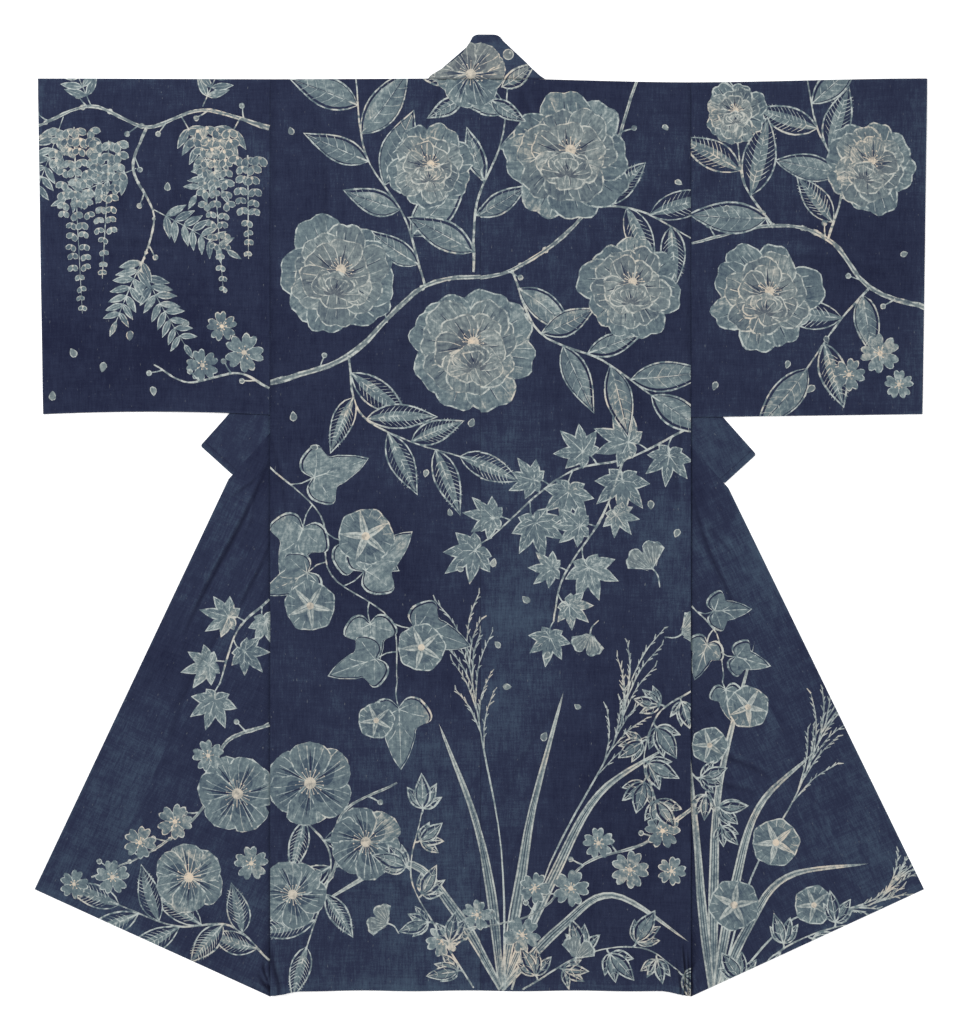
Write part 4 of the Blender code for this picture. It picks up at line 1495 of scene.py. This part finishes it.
def make_panel(half, back_art, wing_art):
    """The body panel: its back above the shoulder line, its front below, folded."""
    sign = half.sign
    shoulder = SHOULDER_Y
    side = BACK_HALF_WIDTH
    back_top = shoulder + BACK_LENGTH

    def place(out, flat_y):
        reach, down = bend(shoulder - flat_y)
        is_front = shoulder - flat_y >= HALF_TURN
        front_x, front_y, front_down = half.turn_out(out, flat_y)
        under = half.lift(front_x, front_y)
        front_z = np.where(front_down > 0, LAYER_STEP - front_down, under)
        on_wing = half.past_fold(out, flat_y) > HALF_TURN
        waves = relief("wings", sign * front_x, front_y) * clear_of_back(front_x)
        front_z = front_z + np.where(on_wing, waves, 0)
        back_y = shoulder + reach
        folded = half.lift(out, back_y) + LAYER_STEP - down
        back_z = np.where(down > 0, folded, half.back_height(out, back_y))
        calm = 1 - ease((shoulder - back_y) / 0.02)
        back_z = back_z + relief("top", sign * out, back_y) * calm
        back_z = back_z - SEAM_DIP * ease(out / SEAM_ROLL)
        back_y = back_y - half.hem_dip(out, flat_y)
        x = np.where(is_front, front_x, out)
        y = np.where(is_front, front_y, back_y)
        z = np.maximum(np.where(is_front, front_z, back_z), 0) + CLOTH_WALL / 2
        return sign * x, y - half.sag(x, y), z

    def wear_at(out, flat_y):
        back_hem = ease((flat_y - (back_top - HEM_WIDTH)) / -HEM_LINE)
        return HEM_FADE * np.where(flat_y > shoulder, back_hem, half.on_hem(out, flat_y))

    def painted_shade_at(out, flat_y):
        front_x, front_y, _ = half.turn_out(out, flat_y)
        on_wing = half.past_fold(out, flat_y) > HALF_TURN
        from_collar = out - half.collar_seam(shoulder - flat_y)
        # painted shade on the wing: crease troughs, the tuck beside the body, and the shadow below
        # the collar's edge
        wing = shading("wings", sign * front_x, front_y) - tucked(front_x, front_y)
        wing = wing - 0.6 * ease(from_collar / 0.005)
        # painted shade on the back: crease troughs, along its side edge below the sleeve, and along
        # the centre seam
        at_side = ease((side - out) / 0.009)
        below_sleeve = at_side - at_side * ease((shoulder + SLEEVE_DEPTH - flat_y) / 0.01)
        seam_shade = mix(0.12, 0.45, (flat_y - shoulder) / BACK_LENGTH)
        back = shading("top", sign * out, 2 * shoulder - flat_y) - 0.30 * below_sleeve
        back = back - seam_shade * ease(out / SEAM_ROLL)
        return np.where(flat_y > shoulder, back, np.where(on_wing, wing, 0))

    drops = np.linspace(0, half.okumi_top, 24)
    neck_side = [(half.collar_seam(drop), shoulder - drop) for drop in drops]
    back = [(0.0, shoulder), (side, shoulder), (side, back_top), (0.0, back_top)]
    low_ends = [(out, shoulder - half.hem_drop(out)) for out in (half.okumi_seam, side)]
    front = neck_side + low_ends + [(side, shoulder)]
    inside, outside = split(front, half.past_fold)
    under_back = [one for one in coarse(back_art) if np.abs(one["points"][:, 0]).max() < side]

    def to_back(x, y):
        return sign * x, 2 * shoulder - y + sign * PATTERN_STEP

    regions = (
        (back, to_flat(back_art, to_back)),
        (inside, to_flat(coarse(back_art), lambda x, y: (sign * x, y))),
        (outside, to_flat(under_back + wing_art, lambda x, y: half.mirror(sign * x, y))),
    )
    lines = []
    for step in range(-FOLD_STEPS, FOLD_STEPS + 1):
        y = shoulder + HALF_TURN * step / FOLD_STEPS
        lines.append(lengthwise((NECK_HALF_WIDTH * 0.98, y), (side + 0.001, y), 30))
    lines += fold_lines(half, 0.001, 1.35, (-4, -3, -2, -1, 1, 2, 3, 4))
    for out in SEAM_LINES:
        lines.append(lengthwise((out, shoulder + 0.002), (out, back_top), 90))
    for offset in (HEM_WIDTH - HEM_LINE, HEM_WIDTH):
        lines.append(lengthwise((0, back_top - offset), (side, back_top - offset), 40))
        lines.append(lengthwise(*[(x, y + offset) for x, y in low_ends], 40))
    wing_grid = grid_in((0.29, -0.70), (0.66, 0.16), WING_GRID_STEP)
    grids = (
        grid_in((0, shoulder), (side, back_top), GRID_STEP),
        grid_in((half.okumi_seam, shoulder - 1.34), (side, shoulder), HIDDEN_GRID_STEP),
        np.stack(half.mirror(wing_grid[:, 0], wing_grid[:, 1]), 1),
    )
    lines += crease_lines("top", sign, flipped)
    lines += crease_lines("wings", sign, half.mirror)
    makers = (place, wear_at, painted_shade_at, CLOTH_THICKNESS)
    seed = seed_of(1.0, sign)
    return make_cloth("panel_" + half.name, regions, *makers, lines, np.vstack(grids), seed)


def make_okumi(half, wing_art):
    """The narrow front panel beside the edge, drawn as it lies turned out."""
    sign = half.sign
    inner = half.okumi_seam
    tip = half.okumi_top + OKUMI_POINT_START
    drops = np.linspace(tip, half.collar_length, 14)
    seam = [(half.collar_seam(drop), SHOULDER_Y - drop) for drop in drops]
    low_ends = [(out, SHOULDER_Y - half.hem_drop(out)) for out in (half.front_edge, inner)]
    flat_outline = [(inner, SHOULDER_Y - tip)] + seam + low_ends
    outline = np.stack(half.mirror(*np.array(flat_outline).T), 1)

    def place(out, y):
        z = np.maximum(relief("wings", sign * out, y) * clear_of_back(out), 0)
        return sign * out, y - half.sag(out, y), z + CLOTH_WALL / 2

    def wear_at(out, y):
        flat_out, flat_y = half.mirror(out, y)
        edge = ease((flat_out - half.front_edge) / 0.004)
        return HEM_FADE * np.maximum(half.on_hem(flat_out, flat_y), edge)

    def painted_shade_at(out, y):
        # painted shade: the creases' troughs and the tuck beside the body
        return shading("wings", sign * out, y) - tucked(out, y)

    def turned(start, end, count):
        return lengthwise(half.mirror(*start), half.mirror(*end), count)

    lines = []
    for offset in (HEM_WIDTH - HEM_LINE, HEM_WIDTH):
        lines.append(turned(*[(x, y + offset) for x, y in low_ends], 16))
    for offset in (0.0015, 0.004):
        out = half.front_edge + offset
        lines.append(turned((out, SHOULDER_Y - half.collar_length), (out, SHOULDER_Y - 1.32), 60))
    grid = grid_in(outline.min(0), outline.max(0), WING_GRID_STEP)
    lines += crease_lines("wings", sign, lambda x, y: (x, y))
    regions = ((outline, to_flat(wing_art, lambda x, y: (sign * x, y))),)
    makers = (place, wear_at, painted_shade_at, CLOTH_THICKNESS)
    seed = seed_of(3.0, sign)
    return make_cloth("okumi_" + half.name, regions, *makers, lines, grid, seed, half.mirror)


def make_sleeve(half, art):
    """The sleeve: one cloth folded on top, closed below and, low down, by the wrist."""
    sign = half.sign
    sizes = half.sizes
    depth = SLEEVE_DEPTH
    inner = BACK_HALF_WIDTH
    top_y = SHOULDER_Y

    def width_at(drop):
        return mix(sizes.sleeve_at_top, sizes.sleeve_at_bottom, drop / depth)

    def place(out, flat_y):
        drop = np.abs(flat_y - top_y)
        across = (out - inner) / width_at(drop)
        low = sizes.sleeve_low * (1 - across)
        bow = sizes.sleeve_bow * 4 * across * (1 - across)
        y = top_y - BEND / 2 - (depth + low - bow) * (drop / depth)
        is_back = flat_y > top_y
        middle = half.lift(out, y) + LAYER_STEP / 2
        to_fold = np.minimum(drop, depth - drop)
        to_wrist = np.where(drop > WRIST_OPENING, width_at(drop) * (1 - across), 1.0)
        edge = np.clip(np.minimum(to_fold, to_wrist) / BEND, 0, 1)
        side = np.where(is_back, 1, -1)
        z = middle + side * LAYER_STEP / 2 * np.sqrt(np.maximum(1 - (1 - edge) ** 2, 0.0001))
        calm = (1 - ease(to_fold / 0.03)) * (1 - ease((out - inner) / 0.02))
        z = z + np.where(is_back, relief("top", sign * out, y) * calm, 0)
        z = z - np.where(is_back, SEAM_DIP * ease((out - inner) / SEAM_ROLL), 0)
        return sign * out, y - half.sag(out, y), np.maximum(z, 0) + CLOTH_WALL / 2

    def wear_at(out, flat_y):
        drop = np.abs(flat_y - top_y)
        at_wrist = ease((inner + width_at(drop) - out) / 0.004)
        at_edge = ease(np.minimum(drop, depth - drop) / 0.003)
        return HEM_FADE * np.maximum(at_wrist, at_edge)

    def painted_shade_at(out, flat_y):
        # painted shade of the creases, on the sleeve's upper layer
        return np.where(flat_y > top_y, shading("top", sign * out, 2 * top_y - flat_y), 0)

    top_out = inner + sizes.sleeve_at_top
    low_out = inner + sizes.sleeve_at_bottom
    low_y = top_y + depth - SEAM_GAP / 2
    back = [(inner, top_y), (top_out, top_y), (low_out, low_y), (inner, low_y)]
    front = [flipped(x, y) for x, y in back][::-1]

    def to_front(x, y):
        return 2 * inner + sizes.sleeve_at_top - sign * x, y

    regions = (
        (back, to_flat(art, lambda x, y: flipped(sign * x, y))),
        (front, to_flat(coarse(art), to_front)),
    )
    shares = (1, 0.5, 0.15)
    lines = []
    for share in (-1, -0.5, -0.15, 0.15, 0.5, 1):
        y = top_y + BEND * share
        lines.append(lengthwise((inner, y), (top_out, y), 30))
    for side in (-1, 1):
        for offset in (BEND * share for share in shares):
            y = top_y + side * (depth - offset)
            upper = (top_out - offset, top_y + side * 0.001)
            ends = upper, (low_out - offset, top_y + side * depth)
            lines.append(lengthwise((inner, y), (low_out + 0.001, y), 30))
            lines.append(lengthwise(*ends, 50))
        for out in (inner + offset for offset in SEAM_LINES):
            low = top_y + side * (depth - 0.001)
            lines.append(lengthwise((out, top_y + side * 0.002), (out, low), 40))
    grids = (
        grid_in((inner, top_y), (top_out, top_y + depth), GRID_STEP),
        grid_in((inner, top_y - depth), (top_out, top_y), HIDDEN_GRID_STEP),
    )
    lines += crease_lines("top", sign, flipped)
    makers = (place, wear_at, painted_shade_at, CLOTH_THICKNESS)
    seed = seed_of(5.0, sign)
    return make_cloth("sleeve_" + half.name, regions, *makers, lines, np.vstack(grids), seed)


def make_collar_end(half):
    """One end of the collar, from its fold at the neck to where the okumi begins."""
    sign = half.sign
    end = half.collar_length - COLLAR_END_INSET
    drops = np.concatenate((np.linspace(-COLLAR_RISE, 0, 5), np.linspace(0, end, 160)[1:]))

    def clear_of_fold(point):
        """The point, or one beside it where it would lie within the fold's bend."""
        past = half.past_fold(point.x, point.y)
        aside = math.copysign(max(abs(past), FOLD_CLEARANCE), past) - past
        return tuple(point + half.fold_normal * aside)

    near = [tuple(half.collar_point(drop, -COLLAR_LAP / COLLAR_WIDTH)) for drop in drops]
    far = [clear_of_fold(half.collar_point(drop, 1)) for drop in drops]
    fold_ends = [NECK_SECTIONS[row] for row in NECK_FOLD_ENDS]
    low, high = (Vector((getattr(row, half.name), SHOULDER_Y + row.height)) for row in fold_ends)
    along = (high - low).normalized()
    outwards = Vector((along.y, -along.x))
    limit = low - outwards * NECK_FOLD_INSET
    ends = (len(near) - 1, len(near))
    outline = rounded(near + far[::-1], ends, COLLAR_CORNER_RADIUS)
    outline, _ = split(outline, lambda x, y: (Vector((x, y)) - limit).dot(outwards))

    def place(out, flat_y):
        x, y, down = half.turn_out(out, flat_y)
        z = np.where(down > 0, LAYER_STEP - down, half.lift(x, y))
        wave = 0.00035 * (1 + np.sin(x * 90 + y * 160)) * ease((BACK_HALF_WIDTH - x) / 0.01)
        return sign * x, y - half.sag(x, y), z + wave + COLLAR_WALL / 2

    tip = half.collar_point(end, 0.5)
    backwards = (half.collar_point(end - 0.01, 0.5) - tip).normalized()

    def from_end(out, flat_y):
        return (out - tip.x) * backwards.x + (flat_y - tip.y) * backwards.y

    def wear_at(out, flat_y):
        return HEM_FADE * ease(from_end(out, flat_y) / 0.003)

    def painted_shade_at(out, flat_y):
        # a painted dark line of shade along the stitching across the collar's end
        return -0.5 * ease(np.abs(from_end(out, flat_y) - COLLAR_STITCH_INSET) / 0.0012)

    lines = []
    for offset in (-0.0012, 0.0, 0.0012):
        spot = end - COLLAR_STITCH_INSET + offset
        stitch = half.collar_point(spot, 0.02), half.collar_point(spot, 0.98)
        lines.append(lengthwise(*stitch, 12))
    lines += fold_lines(half, 0.4, 1.45, range(-FOLD_STEPS, FOLD_STEPS + 1))
    grid = []
    for drop in np.linspace(0.01, end - 0.004, 80):
        for share in (0.03, 0.06, 0.2, 0.35, 0.5, 0.65, 0.8, 0.94, 0.97):
            grid.append(tuple(half.collar_point(drop, share)))
    makers = (place, wear_at, painted_shade_at, COLLAR_THICKNESS)
    seed = seed_of(7.0, sign)
    return make_cloth("collar_" + half.name, ((outline, []),), *makers, lines, grid, seed)


def make_neck(art):
    """The middle of the collar, which stands above the back along the neck seam."""
    left = [(-section.left, SHOULDER_Y + section.height) for section in NECK_SECTIONS]
    right = [(section.right, SHOULDER_Y + section.height) for section in NECK_SECTIONS]
    top_corners = (len(right) - 1, len(right))
    outline = rounded(right + left[::-1], top_corners, NECK_CORNER_RADIUS)
    for end in (0, -1):
        outline[end] = (outline[end][0], SHOULDER_Y - NECK_LAP)

    def place(x, y):
        left_lift, right_lift = (halves[name].lift(np.abs(x), y) for name in SIDES)
        z = np.where(x > 0, right_lift, left_lift) + LAYER_STEP
        rise = (y - SHOULDER_Y) / COLLAR_WIDTH
        wave = 0.0004 * (1 + np.sin(x * 70 + y * 120)) * (1 - ease(rise / 0.3))
        return x, y, z + wave + COLLAR_WALL / 2

    def wear_at(x, y):
        return HEM_FADE * ease((SHOULDER_Y + COLLAR_WIDTH - y) / 0.003)

    def painted_shade_at(x, y):
        # painted shade along the neck's lower edge, at its seam with the back
        return -0.7 * ease((y - SHOULDER_Y + NECK_LAP) / 0.003)

    grid = grid_in((-0.1, SHOULDER_Y), (0.1, SHOULDER_Y + 0.066), 0.005)
    makers = (place, wear_at, painted_shade_at, COLLAR_THICKNESS)
    weave = seed_of(9.0, 0), lambda x, y: (y, x)
    return make_cloth("collar_neck", ((outline, art),), *makers, [], grid, *weave)


# --- Materials ------------------------------------------------------------------------


def srgb(*values):
    """A linear colour from 0 to 255 screen values."""
    linear = [
        ((value / 255 + 0.055) / 1.055) ** 2.4 if value > 10 else value / 255 / 12.92
        for value in values
    ]
    return (*linear, 1.0)


class Nodes:
    """Makes a material's nodes and joins them."""

    def __init__(self, name):
        self.material = bpy.data.materials.new(name)
        self.material.use_nodes = True
        self.tree = self.material.node_tree
        self.tree.nodes.clear()

    def add(self, kind, inputs=(), **settings):
        node = self.tree.nodes.new("ShaderNode" + kind)
        for key, value in settings.items():
            setattr(node, key, value)
        for key, value in dict(inputs).items():
            socket = node.inputs[key]
            if isinstance(value, bpy.types.NodeSocket):
                self.tree.links.new(value, socket)
            else:
                socket.default_value = value
        return node

    def attribute(self, name, output="Vector"):
        return self.add("Attribute", attribute_name=name).outputs[output]

    def math(self, operation, *values, clamp=False):
        inputs = enumerate(values)
        return self.add("Math", inputs, operation=operation, use_clamp=clamp).outputs[0]

    def total(self, *values):
        found = values[0]
        for value in values[1:]:
            found = self.math("ADD", found, value)
        return found

    def split(self, vector):
        return self.add("SeparateXYZ", {0: vector}).outputs

    def scaled(self, vector, scale):
        return self.add("VectorMath", {0: vector, 1: scale}, operation="MULTIPLY").outputs[0]

    def noise(self, vector, stretch, scale, detail, roughness):
        sizes = {"Scale": scale, "Detail": detail, "Roughness": roughness}
        vector = self.scaled(vector, stretch)
        return self.add("TexNoise", {"Vector": vector, **sizes}).outputs["Fac"]

    def mapped(self, value, *limits):
        """The value from its low and high limit to those of the result."""
        return self.add("MapRange", enumerate((value, *limits))).outputs[0]

    def blend(self, share, first, second, mode="MIX"):
        inputs = {0: share, 6: first, 7: second}
        return self.add("Mix", inputs, data_type="RGBA", blend_type=mode).outputs[2]

    def ramp(self, value, *stops):
        node = self.add("ValToRGB", {0: value})
        elements = node.color_ramp.elements
        while len(elements) < len(stops):
            elements.new(1.0)
        for element, (position, colour) in zip(elements, stops):
            element.position = position
            element.color = colour
        return node.outputs[0]

    def finished(self, inputs):
        """The material, with a shader of these inputs."""
        shader = self.add("BsdfPrincipled", inputs)
        self.add("OutputMaterial", {"Surface": shader.outputs[0]})
        return self.material


GROUND_DARK = srgb(25, 29, 50)
GROUND_MID = srgb(37, 43, 64)
GROUND_LIGHT = srgb(60, 75, 92)
WASH_DARK = srgb(52, 65, 80)
WASH_LIGHT = srgb(97, 111, 115)
RESIST_PALE = srgb(164, 171, 168)
RESIST_WARM = srgb(196, 180, 160)


def make_cotton(name, worn=0.0):
    """Indigo cotton with its pattern, its uneven threads, its fading and its painted shade."""
    nodes = Nodes(name)
    weave = nodes.attribute("weave")
    paint = nodes.split(nodes.attribute("paint"))
    stroke_place = nodes.attribute("stroke")
    wear_and_shade = nodes.attribute("wear_and_shade", "Fac")
    # fold: painted shade, negative in troughs, tucks, seams and below the collar, positive on
    # crease ridges
    fold = nodes.attribute("fold", "Fac")

    def grain(stretch, scale, detail, roughness, reach):
        """Noise from -reach to reach, stretched along the threads."""
        noise = nodes.noise(weave, stretch, scale, detail, roughness)
        return nodes.mapped(noise, 0.3, 0.7, -reach, reach)

    # thick and thin threads both ways, then blotches
    plain = 1.0 - 1.6 * worn
    warp = grain((430, 50, 3), 1.0, 2.0, 0.6, 0.12 * plain)
    weft = grain((34, 430, 7), 1.0, 2.0, 0.6, 0.08 * plain)
    specks = grain((1, 1, 19), 560.0, 1.0, 0.5, 0.08)
    threads = nodes.total(warp, weft, specks)
    warp_bands = grain((90, 7.0, 5), 1.0, 3.0, 0.6, 0.055 * plain)
    weft_bands = grain((8.0, 75, 9), 1.0, 2.0, 0.6, 0.03 * plain)
    clouds = grain((1, 1, 11), 7.0, 3.0, 0.55, 0.13)
    mottle = grain((1, 0.6, 13), 60.0, 3.0, 0.6, 0.10 + 0.2 * worn)
    uneven = nodes.total(threads, warp_bands, weft_bands, clouds, mottle)
    # worn and paler places lighten the ground; the painted shade patches darken it
    tone = nodes.total(0.42 + worn, uneven, nodes.math("MULTIPLY", wear_and_shade, 0.25))
    # lighter on crease ridges, partly fading of the raised cloth and partly painted light; darker
    # in the troughs, painted shade
    ridge = nodes.math("MAXIMUM", fold, 0.0)
    trough = nodes.math("MINIMUM", fold, 0.0)
    tone = nodes.math("MULTIPLY_ADD", trough, 0.36, tone)
    tone = nodes.math("MULTIPLY_ADD", ridge, 0.14, tone)
    ground = nodes.ramp(tone, (0.0, GROUND_DARK), (0.45, GROUND_MID), (1.0, GROUND_LIGHT))

    # paste-resist: streaky along each stroke, thinner where a line breaks up
    brushed = nodes.noise(stroke_place, (2.2, 16, 40), 1.0, 3.0, 0.6)
    brushed = nodes.mapped(brushed, 0.3, 0.7, -0.20, 0.20)
    dabbed = grain((1, 1, 17), 170.0, 3.0, 0.65, 0.24)
    pooled = grain((1, 1, 23), 30.0, 2.0, 0.5, 0.14)
    gain = nodes.total(brushed, dabbed, pooled)
    gain = nodes.math("MULTIPLY_ADD", threads, 0.68, gain)
    # the paste's paint too: paler on ridges and darker in troughs, tucks and seams, painted light
    # and shade
    gain = nodes.math("MULTIPLY_ADD", fold, 0.20, gain)
    held = nodes.math("MULTIPLY_ADD", gain, paint[0], paint[0], clamp=True)
    press = nodes.noise(weave, (1, 1, 29), 120.0, 2.0, 0.5)
    press = nodes.mapped(press, 0.36, 0.56, 0.52, 1.0)
    on_line = nodes.mapped(paint[0], 0.84, 0.90, 0.0, 1.0)
    broken = nodes.math("MULTIPLY", held, press)
    held = nodes.add("Mix", {0: on_line, 2: held, 3: broken}, data_type="FLOAT").outputs[0]
    washes = (0.0, WASH_DARK), (0.26, WASH_DARK), (0.62, WASH_LIGHT), (1.0, RESIST_PALE)
    dyed = nodes.ramp(held, *washes)
    blush = nodes.noise(weave, (1, 1, 31), 16.0, 2.0, 0.5)
    blush = nodes.mapped(blush, 0.54, 0.72, 0.0, 0.55)
    blush = nodes.math("MULTIPLY", blush, nodes.mapped(held, 0.55, 0.85, 0.0, 1.0))
    warmed = nodes.mapped(held, 0.3, 0.9, 0.25, 0.85)
    warmth = nodes.math("MULTIPLY_ADD", paint[1], warmed, blush, clamp=True)
    dyed = nodes.blend(warmth, dyed, RESIST_WARM)
    cloth = nodes.blend(nodes.mapped(held, 0.04, 0.22, 0.0, 1.0), ground, dyed)

    # pale slubs, and painted shade: darker in the creases, beside the body's edges, below the
    # collar and along the seams
    slub = nodes.noise(weave, (520, 130, 37), 1.0, 1.0, 0.5)
    cloth = nodes.blend(nodes.mapped(slub, 0.74, 0.82, 0.0, 0.18), cloth, RESIST_PALE)
    shade = nodes.mapped(fold, -1.0, 0.0, 0.62, 1.0)
    grey = nodes.add("CombineXYZ", {0: shade, 1: shade, 2: shade}).outputs[0]
    cloth = nodes.blend(1.0, cloth, grey, "MULTIPLY")

    crossing = nodes.split(nodes.scaled(weave, (7400.0, 7400.0, 0)))
    waves = nodes.math("SINE", crossing[0]), nodes.math("SINE", crossing[1])
    height = nodes.math("MULTIPLY_ADD", threads, 6.0, nodes.math("MULTIPLY", *waves))
    bump = nodes.add("Bump", {"Strength": 0.25, "Distance": 0.0003, "Height": height})
    shader = {"Base Color": cloth, "Roughness": 0.92, "Specular IOR Level": 0.06}
    shader |= {"Sheen Weight": 0.02, "Sheen Roughness": 0.6, "Normal": bump.outputs[0]}
    return nodes.finished(shader)


def make_floor():
    """A pale floor that glows a little, as the photo has no shadow round the robe."""
    shader = {"Base Color": (0.86, 0.86, 0.86, 1), "Roughness": 0.95, "Specular IOR Level": 0.1}
    shader |= {"Emission Color": (1, 1, 1, 1), "Emission Strength": 0.35}
    return Nodes("pale floor").finished(shader)


# --- The robe -------------------------------------------------------------------------

cotton = make_cotton("indigo cotton")
collar_cotton = make_cotton("worn collar cotton", worn=0.24)
body_art = roughen(body_pattern(), 1) + crown()
art_of = {
    "left": {"sleeve": roughen(left_sleeve_pattern(), 2), "wing": roughen(left_wing_pattern(), 3)},
    "right": {
        "sleeve": roughen(right_sleeve_pattern(), 4),
        "wing": roughen(right_wing_pattern(), 5),
    },
}


def dress(piece, node, material):
    """Gives a piece its material and says what it is."""
    piece.data.materials.append(material)
    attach(piece, "root")
    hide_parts(node)


for side_name, one_half in halves.items():
    art = art_of[side_name]
    okumi = make_okumi(one_half, art["wing"])
    collar_end = make_collar_end(one_half)
    panel = make_panel(one_half, body_art, art["wing"])
    sleeve = make_sleeve(one_half, art["sleeve"])
    dress(okumi, "okumi_" + side_name, cotton)
    collar_name = "collar_" + side_name
    dress(collar_end, collar_name, collar_cotton)
    dress(panel, "panel_" + side_name, cotton)
    dress(sleeve, "sleeve_" + side_name, cotton)
neck = make_neck(neck_pattern())
dress(neck, "collar_neck", collar_cotton)

# --- Floor, light and camera ----------------------------------------------------------

IMAGE_SIZE = (965, 1024)
METRES_PER_PIXEL = 0.00144
CENTRE_PIXEL_X = 480.5
LEVEL_PIXEL_Y = 516
LENS = 100.0
SENSOR = 36.0
FLOOR_SIZE = 12
FLOOR_Z = -0.0004

bpy.ops.mesh.primitive_plane_add(size=FLOOR_SIZE, location=(0, 0, FLOOR_Z))
floor = bpy.context.object
floor.name = "floor"
floor.data.materials.append(make_floor())

camera_data = bpy.data.cameras.new("camera")
camera_data.lens = LENS
camera_data.sensor_fit = "VERTICAL"
camera_data.sensor_height = SENSOR
camera = bpy.data.objects.new("camera", camera_data)
camera.location = (
    (IMAGE_SIZE[0] / 2 - CENTRE_PIXEL_X) * METRES_PER_PIXEL,
    (LEVEL_PIXEL_Y - IMAGE_SIZE[1] / 2) * METRES_PER_PIXEL,
    IMAGE_SIZE[1] * METRES_PER_PIXEL * LENS / SENSOR,
)
camera_data.clip_end = 50
bpy.context.scene.collection.objects.link(camera)
bpy.context.scene.camera = camera

world = bpy.data.worlds.new("world")
world.use_nodes = True
background = world.node_tree.nodes["Background"].inputs
background["Color"].default_value = (1, 1, 1, 1)
background["Strength"].default_value = 0.55
bpy.context.scene.world = world


def add_light(name, location, size, watts):
    """A large soft light that faces the middle of the robe."""
    data = bpy.data.lights.new(name, "AREA")
    data.shape = "DISK"
    data.size = size
    data.energy = watts
    light = bpy.data.objects.new(name, data)
    light.location = location
    light.rotation_euler = (-Vector(location)).to_track_quat("-Z", "Y").to_euler()
    bpy.context.scene.collection.objects.link(light)


add_light("key", (-1.9, 1.6, 3.1), 1.6, 121)
add_light("fill", (2.4, -1.4, 2.8), 2.2, 60)
bpy.context.scene.view_settings.view_transform = "Standard"
